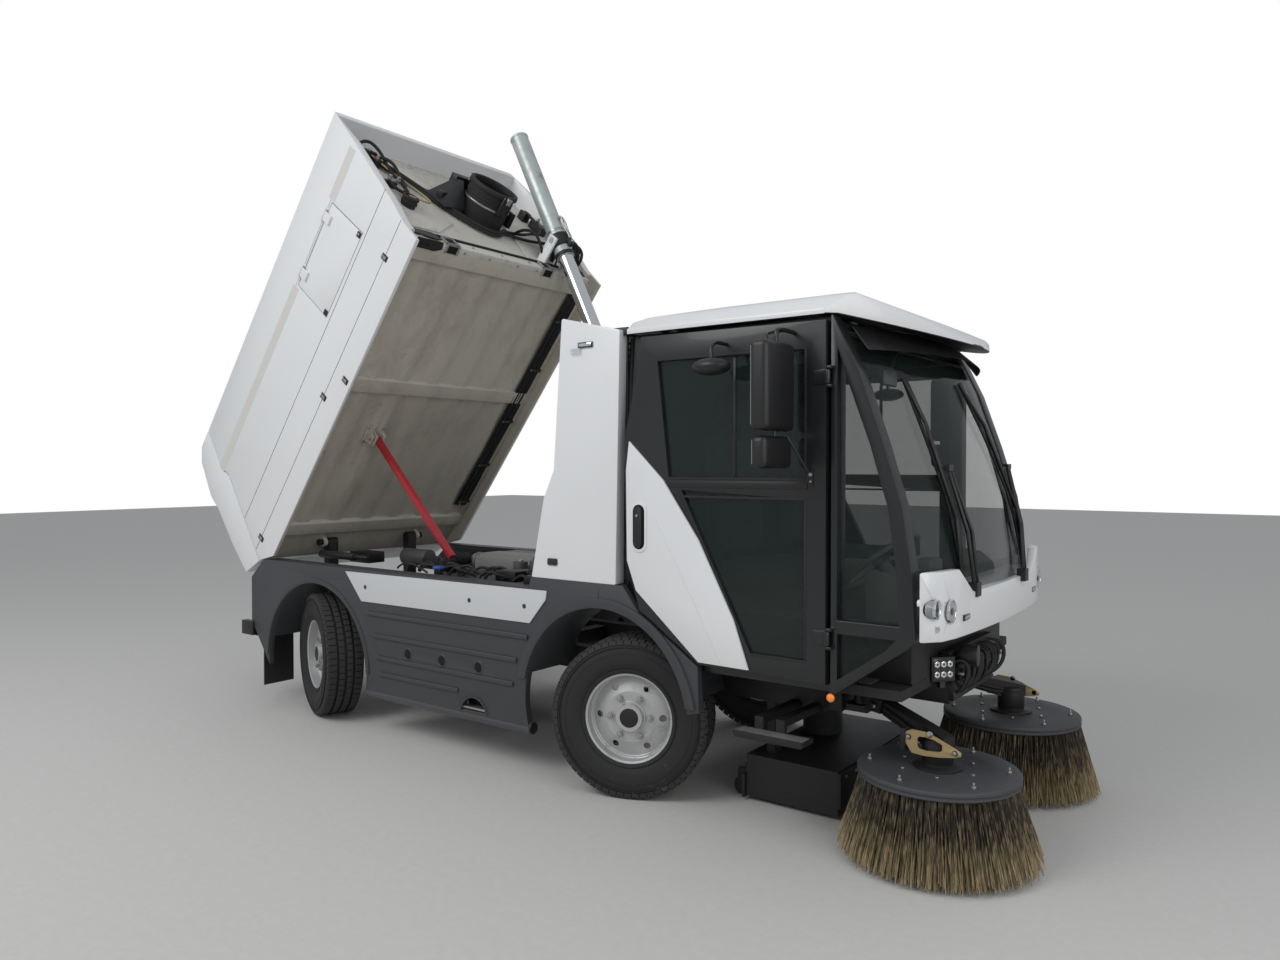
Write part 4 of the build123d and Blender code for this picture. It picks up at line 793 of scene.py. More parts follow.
class SWEEPER_OT_brushes(bpy.types.Operator):
    """Model the side brushes with their discs and bristles"""

    bl_idname = "sweeper.brushes"
    bl_label = "Side brushes"

    def bristles(self, name, place, count, seed, body):
        chance = random.Random(seed)
        piece = Workpiece(name, "bristle", place)
        pitch = math.tau / count
        for _ in range(9):
            for ring in TUFT_RINGS:
                turn = chance.uniform(0, pitch)
                lean = chance.gauss(0, 0.055)
                foot = ring + chance.uniform(-8, 8)
                spread = min(foot + chance.uniform(70, 98), 393)
                low = chance.uniform(8, 34) + 34 * chance.random() ** 4
                root, tip = polar(foot, turn, TUFT_ROOT), polar(spread, turn + lean, low)
                piece.rod(root, tip, 3.2, 3, 1.8)
        piece.around(count)
        piece.finish(body, "bristle", smooth=60)

    def disc(self, hand, place):
        piece = Workpiece("brush_disc_" + hand, "disc", place)
        piece.lathe([
            (30, 350), (200, 350), (206, 352), (300, 352), (308, 349), (310, 344), (310, 334),
            (305, 331), (305, 327), (310, 325), (310, 318), (306, 315), (235, 315), (232, 300),
            (200, 300), (30, 300),
        ], 72)
        piece.use("steel")
        for number in range(6):
            turn = math.tau * number / 6 + 0.3
            piece.rod(polar(262, turn, 350), polar(262, turn, 360), 10, 6)
            piece.rod(polar(262, turn, 358), polar(262, turn, 374), 5, 10)
            turn += math.tau / 12
            piece.rod(polar(150, turn, 350), polar(150, turn, 357), 8, 6)
        piece.use("frame_black")
        piece.lathe([(20, 350), (95, 350), (95, 358), (60, 362), (48, 374), (20, 374)], 32)
        body = "brush_" + hand
        piece.finish(body, "frame_black", bevel=1.5, stands_for=(body,))

    def execute(self, context):
        tufts = context.scene.sweeper_sizes.tufts
        for number, (hand, side) in enumerate(SIDES):
            place = ROAD @ Matrix.Translation((BRUSH_X, side * BRUSH_Y, 0))
            self.disc(hand, place)
            for layer, count, seed in [("a", tufts, 11), ("b", tufts - 14, 23)]:
                self.bristles(f"bristles_{layer}_{hand}", place, count, seed + number,
                              "brush_" + hand)
        return {"FINISHED"}


# The lowered hopper's front wall: its foot, and the sine and cosine of its lean
WALL_X, WALL_Z, LEAN_SIN, LEAN_COS = -575, 1050, 0.0866, 0.9962


def wall(y, up, out=0.0):
    """A point of the lowered hopper's front wall, up along it and out in front of it."""
    x = WALL_X + LEAN_SIN * up + LEAN_COS * out
    return Vector((x, y, WALL_Z + LEAN_COS * up - LEAN_SIN * out))


def off_wall(depth):
    """The way straight out of the front wall, as far as depth."""
    return wall(0, 0, depth) - wall(0, 0)


class SWEEPER_OT_hopper(bpy.types.Operator):
    """Model the hopper's seams, latches, gaskets, front wall and floor fittings"""

    bl_idname = "sweeper.hopper"
    bl_label = "Hopper details"

    def crease(self, piece, x0, x1, side):
        """The band of painted shade at a side wall's bend, on its upright part and on its leaning
        part.
        """
        for y0, z0, y1, z1 in [(800.8, 1724, 800.8, 1766), (800.8, 1766, 794.8, 1804)]:
            low, high = side * y0, side * y1
            piece.plate([(x0, low, z0), (x1, low, z0), (x1, high, z1), (x0, high, z1)],
                        (0, -2 * side, 0))

    def seams(self):
        piece = Workpiece("hopper_seams", "seam", HOPPER)
        # Seam ends: x and z at the front, x and z at the rear
        y = -HALF - 0.9
        for x0, z0, x1, z1 in [(-453, 1351, -2852, 1339), (-523, 1125, -2928, 1113)]:
            piece.plate([(x0, y, z0 - 2), (x1, y, z1 - 2), (x1, y, z1 + 2), (x0, y, z0 + 2)],
                        (0, 2, 0))
        # Bands of painted shade at the side walls' bends
        piece.use("crease")
        self.crease(piece, -408, -742, -1)
        self.crease(piece, -1338, -2775, -1)
        for x, z in [(-760, 1123), (-1715, 1116), (-2830, 1112), (-1515, 1000)]:
            piece.use("black_plastic")
            piece.box((x - 17, -HALF - 4, z - 28), (x + 17, -HALF + 1, z + 28))
            piece.use("steel").box((x - 9, -HALF - 8, z - 18), (x + 9, -HALF - 3, z + 8))
            piece.rod((x - 12, -HALF - 7, z + 14), (x + 12, -HALF - 7, z + 14), 4, 8)
        piece.finish("hopper", "hopper_white", both=True, bevel=0.8, segments=1)
        # The left wall's band of painted shade, on the stretch where the right wall has its hatch
        crease = Workpiece("left_crease", "crease", HOPPER)
        self.crease(crease, -742, -1338, 1)
        crease.finish("hopper", "hopper_white")
        latch = Workpiece("hatch_latch", "black_plastic", HOPPER)
        for x in (-790, -1318):
            latch.box((x, -HALF - 6, 1386), (x + 33, -HALF + 2, 1420))
        latch.use("steel").rod((-773, -HALF - 9, 1403), (-773, -HALF - 2, 1403), 8, 12)
        latch.finish("hatch", "hopper_white", bevel=1.5)

    def front(self):
        panel = Workpiece("wall_panels", "wall_white", HOPPER)
        # Pressed panels of the front wall: (y, up) corners
        for corners in [
            [(-700, 130), (-470, 130), (-250, 300), (-290, 480), (-560, 800), (-700, 830)],
            [(250, 90), (430, 70), (520, 330), (430, 640), (310, 590), (290, 330)],
            [(-440, 900), (-300, 700), (-130, 700), (-130, 900)],
        ]:
            panel.plate([wall(y, up, 0.5) for y, up in corners], off_wall(9))
        panel.finish("hopper", "hopper_white", bevel=6, segments=3)
        beam = Workpiece("front_beam", "wall_white", HOPPER)
        beam.box((-600, -742, 1012), (-556, 742, 1096))
        beam.finish("hopper", "hopper_white", bevel=4)
        # Slots in the front beam, in steel frames: their insides and the openings under them are
        # painted shade
        slots = Workpiece("beam_slots", "hollow_shade", HOPPER)
        for y in (-480, 330):
            slots.use("hollow_shade").box((-557, y - 36, 1022), (-551, y + 36, 1086))
            slots.use("steel")
            for low, high in [(-50, -36), (36, 50)]:
                slots.box((-557, y + low, 1012), (-543, y + high, 1096))
            for low, high in [(1012, 1022), (1086, 1096)]:
                slots.box((-557, y - 50, low), (-543, y + 50, high))
            slots.use("hollow_shade").box((-602, y - 36, 1007), (-557, y + 36, 1012))
            slots.use("steel")
            for low, high in [(-50, -36), (36, 50)]:
                slots.box((-606, y + low, 1004), (-545, y + high, 1012))
        for y in (-690, -300, -60, 180, 560, 690):
            slots.rod((-557, y, 1055), (-549, y, 1055), 9, 8)
        for y in (-660, -380, -180, 60, 230, 480, 640):
            slots.rod((-580, y, 1013), (-580, y, 1006), 8, 8)
        slots.use("rubber").box((-572, -744, 1098), (-546, 744, 1112))
        slots.use("black_plastic")
        slots.plate([(-549, y, z) for y, z in [
            (-744, 1118), (-580, 1112), (-548, 1040), (-610, 1030), (-744, 1062),
        ]], (6, 0, 0))
        slots.plate([(x, y, 1010) for x, y in [
            (-546, -744), (-546, -560), (-590, -552), (-610, -600), (-606, -744),
        ]], (0, 0, -4))
        slots.finish("hopper", "hose_black", bevel=1.2, segments=1)

    def duct(self):
        centre, axis = (-300, 100, 1540), (1, 0, 0)
        piece = Workpiece("duct_fittings", "rubber", HOPPER)
        piece.lathe([(137, 0), (140, 7), (152, 9), (162, 6), (165, -2), (165, -18), (152, -22),
                     (137, -20)], 64, centre, axis)
        for back in (-60, -78):
            piece.lathe([(149, back), (154, back + 3), (154, back + 9), (149, back + 12)], 48,
                        centre, axis)
        piece.use("steel")
        piece.lathe([(150, -118), (155, -118), (155, -106), (150, -106)], 48, centre, axis)
        for degrees in (35, 75, 115, 150, 270):
            turn = math.radians(degrees)
            y, z = centre[1] - 158 * math.cos(turn), centre[2] + 158 * math.sin(turn)
            piece.box((-334, y - 9, z - 9), (-296, y + 9, z + 9))
            piece.use("black_plastic").rod((-350, y, z), (-300, y, z), 6, 8)
            piece.use("steel")
        # A dark lining and end inside the duct: painted shade, in place of the view into the
        # tank's pale inside
        piece.use("hollow_shade").lathe([(136.5, -24), (136.5, -220), (0, -220)], 48, centre, axis)
        piece.use("black_plastic")
        piece.box((-500, -80, 1690), (-350, 60, 1748))
        piece.plate([(-500, -250, 1480), (-500, -60, 1520), (-360, -60, 1640), (-380, -90, 1700),
                     (-500, -280, 1660)], (8, 0, 0))
        piece.box((-500, -250, 1600), (-440, -60, 1640), (0.4, 0, 0))
        piece.box((-420, 60, 1366), (-306, 140, 1386))
        piece.use("steel")
        for y in (70, 100, 130):
            piece.rod((-330, y, 1384), (-302, y, 1376), 5, 8)
        piece.box((-340, 82, 1356), (-300, 118, 1370))
        piece.use("black_plastic")
        piece.box((-500, 230, 1420), (-400, 262, 1700))
        for y, z in ((-560, 1420), (600, 1330)):
            piece.use("rubber").lathe(
                [(44, -40), (50, -36), (50, -22), (46, -19), (46, -12), (51, -9), (51, 4),
                 (46, 8), (38, 8), (38, -14), (0, -14)], 32, (-480, y, z), axis)
        piece.finish("hopper", "hose_black", bevel=1.5)

    def valves(self):
        piece = Workpiece("hopper_valves", "black_plastic", HOPPER)
        # Blocks of the valve group: y, up, half width, half height, depth
        for y, up, wide, high, deep in [
            (-640, 905, 26, 34, 60), (-600, 850, 34, 22, 74), (-560, 800, 20, 30, 50),
            (-668, 840, 16, 24, 44), (-540, 868, 16, 16, 64), (-590, 560, 44, 15, 46),
            (-120, 470, 26, 20, 40), (690, 560, 40, 60, 50), (650, 690, 30, 34, 60),
        ]:
            corners = wall(y - wide, up - high), wall(y + wide, up + high, deep)
            piece.box([min(pair) for pair in zip(*corners)], [max(pair) for pair in zip(*corners)])
        piece.use("steel")
        for y, up in [(-640, 905), (-600, 850), (-560, 800), (-610, 560), (-548, 560), (690, 590)]:
            piece.rod(wall(y, up, 40), wall(y, up, 86), 11, 8)
            piece.rod(wall(y, up, 60), wall(y, up, 70), 16, 6)
        piece.use("wall_white").plate(
            [wall(-700, 760), wall(-620, 700), wall(-540, 740), wall(-600, 830)], off_wall(16))
        piece.finish("hopper", "hose_black", bevel=2)

    def looms(self):
        loom = [(-705, 1000), (-600, 940), (-470, 830), (-330, 660), (-190, 470), (-60, 335),
                (40, 290), (140, 300), (200, 350)]
        runs = [(15, [wall(y, up, 26) for y, up in loom])]
        for shift, radius in ((-26, 9), (22, 8)):
            runs.append((radius, [wall(y + shift * 0.6, up + shift, 20) for y, up in loom]))
        for path in [
            [(-640, 905, 80), (-590, 930, 110), (-520, 860, 90), (-505, 720, 40),
             (-470, 560, 30), (-520, 440, 40), (-560, 400, 60)],
            [(-560, 800, 70), (-480, 790, 90), (-470, 640, 50), (-500, 500, 40),
             (-590, 450, 40), (-610, 560, 50)],
            [(200, 350, 26), (330, 330, 40), (470, 380, 50), (600, 420, 50), (660, 560, 60),
             (650, 690, 60)],
            [(190, 330, 20), (340, 290, 30), (500, 300, 40), (640, 330, 40), (720, 380, 30)],
        ]:
            runs.append((10, [wall(*at) for at in path]))
        hoses("hopper_loom", "hopper", "rubber", runs, HOPPER)
        pale = [(-560, 400, 60), (-470, 350, 70), (-400, 380, 60), (-380, 470, 50),
                (-430, 600, 40), (-520, 760, 40), (-590, 850, 60)]
        thick = [(-735, 1010, 12), (-660, 1000, 12), (-560, 960, 12), (-430, 850, 12)]
        runs = [(radius, [wall(*at) for at in path]) for radius, path in [(6, pale), (8, thick)]]
        hoses("hopper_cable", "hopper", "tan", runs, HOPPER)

    def ram_loops(self):
        """Hydraulic hoses that loop beside the ram's trunnion, in front of the wall."""
        loops = [
            [(-560, 500, 1130), (-400, 520, 1180), (-360, 556, 1300), (-490, 585, 1330),
             (-560, 640, 1200), (-620, 680, 1030)],
            [(-560, 510, 1160), (-370, 540, 1240), (-470, 580, 1370), (-500, 640, 1340),
             (-556, 690, 1180), (-640, 705, 1025)],
            [(-560, 520, 1100), (-420, 555, 1120), (-500, 580, 1200), (-515, 700, 1270),
             (-560, 715, 1120), (-660, 725, 1025)],
            [(-540, 500, 1080), (-440, 550, 1060), (-555, 600, 1040), (-570, 650, 1014),
             (-680, 655, 1018)],
            [(-520, 360, 1140), (-400, 300, 1200), (-440, 260, 1320), (-520, 300, 1400)],
        ]
        for n in range(5):
            loops.append([
                (-560, 500 + 8 * n, 1260 - 30 * n), (-420, 520 + 8 * n, 1330 - 24 * n),
                (-330 - 9 * n, 536 + 7 * n, 1250 - 44 * n),
                (-400 - 5 * n, 540 + 5 * n, 1120 - 30 * n),
                (-545, 555, 1030), (-575, 590 + 20 * n, 1014), (-640, 600 + 20 * n, 1016),
            ])
        chance = random.Random(3)
        for n in range(9):
            y, drop = 618 + 13 * n, chance.uniform(-60, 60)
            loops.append([
                (-560, 540 + 10 * n, 1200 + drop), (-505, 560 + 12 * n, 1340 + drop * 0.5),
                (-490, y - 10, 1378 + drop * 0.3), (-525, y, 1250), (-552, y + 4, 1120),
                (-566, y + 6, 1022), (-640, y, 1014),
            ])
        hoses("ram_hoses", "hopper", "rubber", [(10, path) for path in loops], HOPPER)

    def floor_pipes(self):
        """Pipes along the floor's left edge."""
        runs = []
        # y, radius and how much they wander
        for y, radius, sway in [(655, 11, 4), (682, 9, 7), (706, 12, 3), (728, 8, 5), (630, 7, 9)]:
            runs.append((radius, [
                (-640 - 190 * n, y + sway * math.sin(1.7 * n + y),
                 1020 - 4 * math.cos(2.1 * n + y)) for n in range(11)
            ]))
        hoses("floor_pipes", "hopper", "rubber", runs, HOPPER)

    def floor(self):
        piece = Workpiece("floor_fittings", "underside", HOPPER)
        for low in (-774, 738):
            piece.box((-2680, low, 1016), (-600, low + 36, 1052))
        piece.box((-1990, -452, 1036), (-1860, -328, 1047))
        for y in (-440, -348):
            piece.plate([(-1975, y, 1040), (-1875, y, 1040), (-1895, y, 972), (-1955, y, 972)],
                        (0, 8, 0))
        piece.use("steel")
        piece.rod((-1925, -450, 985), (-1925, -330, 985), 8, 12)
        for x in (-1975, -1875):
            for y in (-445, -335):
                piece.rod((x, y, 1028), (x, y, 1038), 8, 6)
        for x in (-900, -1300, -1750, -2150, -2500):
            piece.use("black_plastic").box((x - 12, 622, 1004), (x + 12, 742, 1012))
            piece.use("steel").rod((x, 640, 998), (x, 640, 1050), 4, 8)
        piece.finish("hopper", "hopper_white", bevel=2)

    def execute(self, context):
        self.seams()
        self.front()
        self.duct()
        self.valves()
        self.looms()
        self.ram_loops()
        self.floor_pipes()
        self.floor()
        return {"FINISHED"}


# The ram's own frame: its origin at the trunnion and its z up the barrel
RAM_AT, RAM_TURN = (-1414.8, 430, 2989.7), math.radians(-25.946)
RAM = ROAD @ Matrix.Translation(RAM_AT) @ Matrix.Rotation(RAM_TURN, 4, "Y")


class SWEEPER_OT_ram(bpy.types.Operator):
    """Model the collars, pipes and foot bolts of the lifting ram"""

    bl_idname = "sweeper.ram"
    bl_label = "Lifting ram"

    def execute(self, context):
        piece = Workpiece("ram_collars", "frame_black", RAM)
        piece.lathe([(58, -113), (66, -112), (67, -90), (60, -86)], 40)
        piece.lathe([(59, -46), (70, -42), (72, 0), (70, 42), (59, 46)], 40)
        piece.use("steel").lathe([(59, 64), (62, 66), (62, 80), (59, 82)], 40)
        piece.use("barrel").lathe([(59, 826), (62.5, 828), (62.5, 841), (52, 842), (52, 836)], 40)
        piece.use("frame_black").box((58, -16, -70), (92, 16, -20))
        piece.use("steel").rod((60, 0, 150), (80, 0, 150), 11, 8)
        piece.rod((88, 0, -50), (104, 0, -50), 12, 6)
        piece.finish("ram_barrel", "barrel_worn", bevel=1.2)
        hoses("ram_pipe", "ram_barrel", "steel", [
            (6, [(78, 0, 150), (84, 0, 120), (76, 0, 60), (88, 0, 20), (86, 0, -30)]),
            (6, [(78, 14, 150), (90, 16, 110), (82, 14, 40), (92, 12, -10), (88, 8, -40)]),
        ], RAM)
        eye = Workpiece("ram_foot_bolts", "steel")
        for y0, y1 in [(400, 388), (460, 472)]:
            eye.rod((-398, y0, 900), (-398, y1, 900), 16, 6)
        eye.finish("chassis", "frame_black", bevel=1)
        return {"FINISHED"}


# Round cut-out of the side body: middle and radius; then the line of the sill tubes, and the
# plane of the door skins
CUT_X, CUT_Z, CUT_R = -925, 228, 100
SILL_Y, SILL_Z = -769, 226
SKIN_Y = -816.5


def sided(side):
    """The road frame for the right, or mirrored for the left."""
    return ROAD if side < 0 else ROAD @ Matrix.Scale(-1, 4, (0, 1, 0))


def rounded(x0, x1, z0, z1, radius, y):
    """Corners of a rounded rectangle in a side plane."""
    corners = []
    for cx, cz, start in [
        (x1 - radius, z1 - radius, 0), (x0 + radius, z1 - radius, 90),
        (x0 + radius, z0 + radius, 180), (x1 - radius, z0 + radius, 270),
    ]:
        for degrees in (0, 22.5, 45, 67.5, 90):
            turn = math.radians(start + degrees)
            corners.append((cx + radius * math.cos(turn), y, cz + radius * math.sin(turn)))
    return corners


# Windscreen: height, x at the pillars, x at the middle
SCREEN = [
    (1046, 1398, 1518), (1137, 1394, 1512), (1375, 1352, 1478), (1627, 1270, 1400),
    (1889, 1178, 1305), (2095, 1080, 1205),
]
SCREEN_HALF, SCREEN_RADIUS = 715, 2600


def screen(y, z, out=0.0):
    """A point of the windscreen's outside, out in front of it."""
    for (z0, side0, mid0), (z1, side1, mid1) in pairwise(SCREEN):
        if z <= z1:
            break
    share = (z - z0) / (z1 - z0)
    side, mid = side0 + share * (side1 - side0), mid0 + share * (mid1 - mid0)
    bow = (y / SCREEN_HALF) ** 2
    return Vector((mid - (mid - side) * bow + out, y * (1 + out / SCREEN_RADIUS), z + out * 0.25))


class SWEEPER_OT_doors(bpy.types.Operator):
    """Model the doors' handles, dividers, locks and mirrors"""

    bl_idname = "sweeper.doors"
    bl_label = "Doors and mirrors"

    def handle(self, hand, place):
        piece = Workpiece("handle_" + hand, "white", place)
        piece.plate(rounded(118, 206, 1146, 1374, 40, SKIN_Y), (0, -4, 0))
        # Painted shade in the recess round the handle
        piece.use("hollow_shade").plate(rounded(130, 194, 1160, 1360, 30, -820), (0, -1.5, 0))
        piece.use("black_plastic").plate(rounded(141, 184, 1168, 1352, 20, -821), (0, -9, 0))
        piece.use("steel").rod((158, -828, 1310), (158, -832, 1310), 6, 12)
        piece.finish("door_" + hand, "white_panel", bevel=2.2)
        crease = Workpiece("skin_crease_" + hand, "white", place)
        crease.plate([(x, SKIN_Y - 0.1, z) for x, z in [
            (232, 1330), (238, 1326), (430, 1010), (600, 700), (594, 698), (424, 1004),
        ]], (0, -2.2, 0))
        crease.finish("door_" + hand, "white_panel", bevel=1.0)
        trim = Workpiece("door_trim_" + hand, "black_plastic", place)
        trim.box((633, -792, 1478), (647, -778, 2002))
        trim.box((300, -809, 1440), (985, -804, 1470))
        trim.plate(rounded(986, 1010, 1452, 1522, 11, -804.5), (0, -5, 0))
        trim.use("steel").rod((998, -808, 1500), (998, -812, 1500), 8, 12)
        trim.rod((998, -808, 1472), (998, -811, 1472), 5, 8)
        trim.use("rubber")
        # Window seals: x0, x1, z0, z1 along the frame's inner edges
        for x0, x1, z0, z1 in [
            (254, 975, 1994, 2004), (314, 975, 1474, 1484), (969, 979, 1476, 2000),
            (382, 975, 1396, 1406), (727, 975, 750, 760), (969, 979, 756, 1400),
        ]:
            trim.box((x0, -807, z0), (x1, -786, z1))
        trim.finish("door_" + hand, "cab_black", bevel=1.5)

    def mirrors(self, hand, place):
        piece = Workpiece("mirror_shells_" + hand, "black_plastic", place)
        piece.box((884, -1098, 1668), (962, -864, 2008))
        piece.box((888, -1094, 1524), (952, -868, 1648))
        piece.finish("door_" + hand, "cab_black", bevel=24, segments=5,
                     stands_for=("mirrors_" + hand,))
        face = Workpiece("mirror_glass_" + hand, "mirror", place)
        face.box((882.6, -1080, 1690), (884, -884, 1988))
        face.box((886.6, -1078, 1540), (888, -884, 1632))
        face.finish("door_" + hand, "cab_black")
        dome = Workpiece("mirror_dome_" + hand, "black_plastic", place)
        dome.ball((620, -940, 1936), 1, (88, 60, 36), 24)
        dome.finish("door_" + hand, "cab_black")
        hoses("mirror_tubes_" + hand, "door_" + hand, "cab_black", [
            (9, [(925, -960, 1990), (925, -962, 2045), (925, -940, 2064), (925, -880, 2064),
                 (925, -806, 2062)]),
            (6, [(905, -990, 1990), (900, -990, 2030), (880, -950, 2052), (925, -880, 2062)]),
            (8, [(925, -970, 1676), (925, -972, 1640)]),
            (8, [(618, -938, 1968), (614, -936, 2014), (610, -900, 2040), (610, -850, 2042),
                 (612, -806, 2040)]),
            (5, [(940, -900, 1652), (980, -860, 1560), (990, -810, 1512)]),
        ], place)

    def execute(self, context):
        for hand, side in SIDES:
            self.handle(hand, sided(side))
            self.mirrors(hand, sided(side))
        return {"FINISHED"}


def bumper():
    """The rear bumper's back and top."""
    low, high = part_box("rear_bumper")
    return (low.x - FRONT_AXLE_X) * 1000, high.z * 1000


# Padded parts of a seat: name, corners about the seat's middle, the axis it rests on, how far
# its two long channels are off the middle, their axis and ends, and places of those across
PADS = [
    ("seat_cushion", (424, -222, 1014), (850, 222, 1104),
     2, 128, 0, (470, 820), (560, 690, 800)),
    ("seat_back", (334, -216, 1118), (436, 216, 1680),
     0, 128, 2, (1160, 1640), (1260, 1390, 1520)),
    ("head_rest", (347, -124, 1716), (425, 124, 1864),
     0, 76, 2, (1745, 1835), ()),
]


class SWEEPER_OT_cab(bpy.types.Operator):
    """Model the wipers, lamps, side trim, louvres and the inside of the cab"""

    bl_idname = "sweeper.cab"
    bl_label = "Cab details"

    def wipers(self):
        piece = Workpiece("wiper_blades", "black_plastic")
        for foot, knee, low, high in [
            ((1510, -390, 1046), (-430, 1518), (-452, 1130), (-500, 1886)),
            ((1532, 240, 1046), (330, 1522), (372, 1120), (20, 1896)),
        ]:
            knot = screen(knee[0], knee[1], 30)
            piece.box(Vector(foot) - Vector((20, 26, 30)), Vector(foot) + Vector((18, 26, 26)))
            piece.box(knot - Vector((10, 26, 12)), knot + Vector((12, 26, 12)))
            for shift in (-17, 17):
                start = Vector(foot) + Vector((4, shift, 10))
                bend = screen(foot[1] + (knee[0] - foot[1]) * 0.25 + shift, 1260, 38)
                piece.rod(start, bend, 8.5, 8)
                piece.rod(bend, knot + Vector((2, shift * 0.8, 0)), 8.5, 8, 7)
            path = [[a + n / 8 * (b - a) for a, b in zip(low, high)] for n in range(9)]
            for here, there in pairwise(path):
                piece.rod(screen(*here, 9), screen(*there, 9), 8, 8)
            for shift, gap in ((12, 24), (-4, 30)):
                bows = [(path[0], 10), (path[2], gap), (path[6], gap), (path[8], 10)]
                for (here, a), (there, b) in pairwise(bows):
                    piece.rod(screen(here[0] + shift, here[1], a),
                              screen(there[0] + shift, there[1], b), 7, 8)
            piece.rod(screen(*path[4], 8), knot, 7, 8)
        piece.finish("chassis", "cab_black", bevel=1, segments=1, stands_for=("wipers",))

    def lamps(self):
        piece = Workpiece("lamp_rims", "chrome")
        for x, y, z, r in [(1474, 728, 1000, 34), (1500, 640, 985, 42)]:
            place = (x, -y, z)
            for finish, profile, steps in [
                ("chrome", [(r - 5, 1), (r - 3, 5), (r + 3, 5), (r + 5, -4)], 32),
                ("mirror", [(0, 1.5), (r * 0.5, 1.8), (r - 5, 3)], 24),
                ("lamp_black", [(0, 2), (r * 0.28, 4), (r * 0.36, 2)], 16),
            ]:
                piece.use(finish).lathe(profile, steps, place, (1, 0, 0))
        piece.use("chrome").box((1470, -726, 914), (1477, -674, 938))
        piece.use("mirror").box((1476, -722, 918), (1479, -678, 934))
        piece.use("lamp_black").box((1504, -540, 936), (1516, -466, 960))
        piece.use("chrome").box((1515, -528, 942), (1518, -478, 954))
        piece.finish("chassis", "lamp", both=True, bevel=1.2)

    def markers(self):
        marks = Workpiece("side_markers", "amber")
        marks.ball((1082, -800, 628), 1, (17, 12, 17), 16)
        marks.use("black_plastic").rod((1082, -780, 628), (1082, -798, 628), 20, 20)
        marks.use("lamp_black").box((-205, -807, 2086), (-118, -799, 2112))
        marks.use("mirror").box((-198, -809, 2091), (-125, -806, 2107))
        marks.use("lamp_black").plate(rounded(-402, -340, 1052, 1086, 8, -799), (0, -7, 0))
        marks.use("seam").box((-89, -801.5, 850), (-85, -799, 962))
        for x, z in [(-1818, 833), (-950, 833), (-556, 838)]:
            marks.rod((x, -805, z), (x, -808, z), 12, 16)
            marks.rod((x, -807, z), (x, -809.5, z), 7, 6)
        marks.finish("chassis", "dark_panel", both=True, bevel=1)

    def tail_lamps(self):
        tail = Workpiece("tail_lamps", "red")
        x, top = bumper()
        for y0, y1, kind in [(-700, -600, "red"), (-596, -540, "amber"), (-536, -500, "lens")]:
            tail.use(kind).box((x - 1.5, y0, top - 74), (x + 12, y1, top - 30))
        tail.use("lamp_black").box((x + 0.2, -708, top - 80), (x + 10, -492, top - 24))
        tail.finish("chassis", "lamp", both=True, bevel=1.5)

    def side(self):
        piece = Workpiece("side_ribs", "anthracite")
        # Ribs: x range and height, as in the CAD
        for x0, x1, z in [(-1800, -540, 684), (-1745, -615, 561), (-1715, -640, 438),
                          (-1690, -1045, 347)]:
            piece.box((x0 - 4, -811, z - 13), (x1 + 4, -799, z + 13))
        piece.finish("chassis", "dark_panel", both=True, bevel=6, segments=4)
        piece = Workpiece("side_trim", "duct_dark")
        piece.rod((-1829, SILL_Y, SILL_Z), (-530, SILL_Y, SILL_Z), 33, 24)
        piece.use("black_plastic")
        for x, out in [(-1829, -6), (-530, 6)]:
            piece.rod((x, SILL_Y, SILL_Z), (x + out, SILL_Y, SILL_Z), 27, 20)
        # Three holes in the side body, filled with discs of painted shade inside raised rims
        for x in (-1451, -1172, -892):
            piece.use("hollow_shade").rod((x, -798, 487), (x, -802, 487), 26, 28)
            piece.use("anthracite").lathe([(26, 0), (29, 3), (34, 2.5), (37, 0)], 32,
                                          (x, -800, 487), (0, -1, 0))
        # Recess round the filler's cut-out: a dark box of painted shade at its back stands for its
        # depth
        turns = [math.pi * n / 16 for n in range(17)]
        rim = [(CUT_X + CUT_R * math.cos(turn), -801, CUT_Z + CUT_R * math.sin(turn))
               for turn in turns if CUT_Z + CUT_R * math.sin(turn) > 238]
        piece.use("hollow_shade").box((CUT_X - CUT_R, -742, 240), (CUT_X + CUT_R, -736, CUT_Z + CUT_R))
        piece.use("anthracite")
        for here, there in pairwise(rim):
            piece.rod(here, there, 5, 10)
        piece.use("steel").box((CUT_X - CUT_R + 8, -797, 262), (CUT_X + CUT_R - 8, -745, 272))
        # Bumper's side blocks
        piece.use("black_plastic").box((-3120, -812, 425), (-2990, -770, 515))
        piece.finish("chassis", "dark_panel", both=True, bevel=4, segments=3)

    def rear(self):
        rear = Workpiece("rear_fittings", "black_plastic")
        x, top = bumper()
        rear.box((x - 4, -268, top - 120), (x + 6, 268, top - 8))
        rear.use("plate").box((x - 6, -258, top - 112), (x - 3, 258, top - 18))
        rear.use("lamp_black")
        for y in (-120, 120):
            rear.box((x - 14, y - 34, top - 8), (x + 6, y + 34, top + 8))
        rear.use("steel")
        for y in (-330, 330):
            rear.rod((x - 5, y, top - 60), (x + 5, y, top - 60), 12, 6)
        rear.finish("chassis", "dark_panel", bevel=2)

    def column(self):
        piece = Workpiece("louvres", "black_plastic")
        for n in range(22):
            z = 1470 + n * 30
            piece.box((14, -735, z), (44, -612, z + 9), (0, 0.5, 0))
        piece.box((-48, -745, 1440), (46, -735, 2140))
        piece.box((-48, -770, 2130), (60, -604, 2168))
        piece.box((20, -745, 980), (50, -640, 1440))
        piece.finish("chassis", "cab_black", both=True, bevel=2)
        hoses("column_pipes", "chassis", "rubber", [
            (13, [(56, -730, 1000), (54, -735, 1500), (54, -728, 2000), (40, -700, 2120)]),
            (9, [(60, -700, 960), (58, -702, 1400), (60, -706, 2050), (40, -680, 2130)]),
        ])

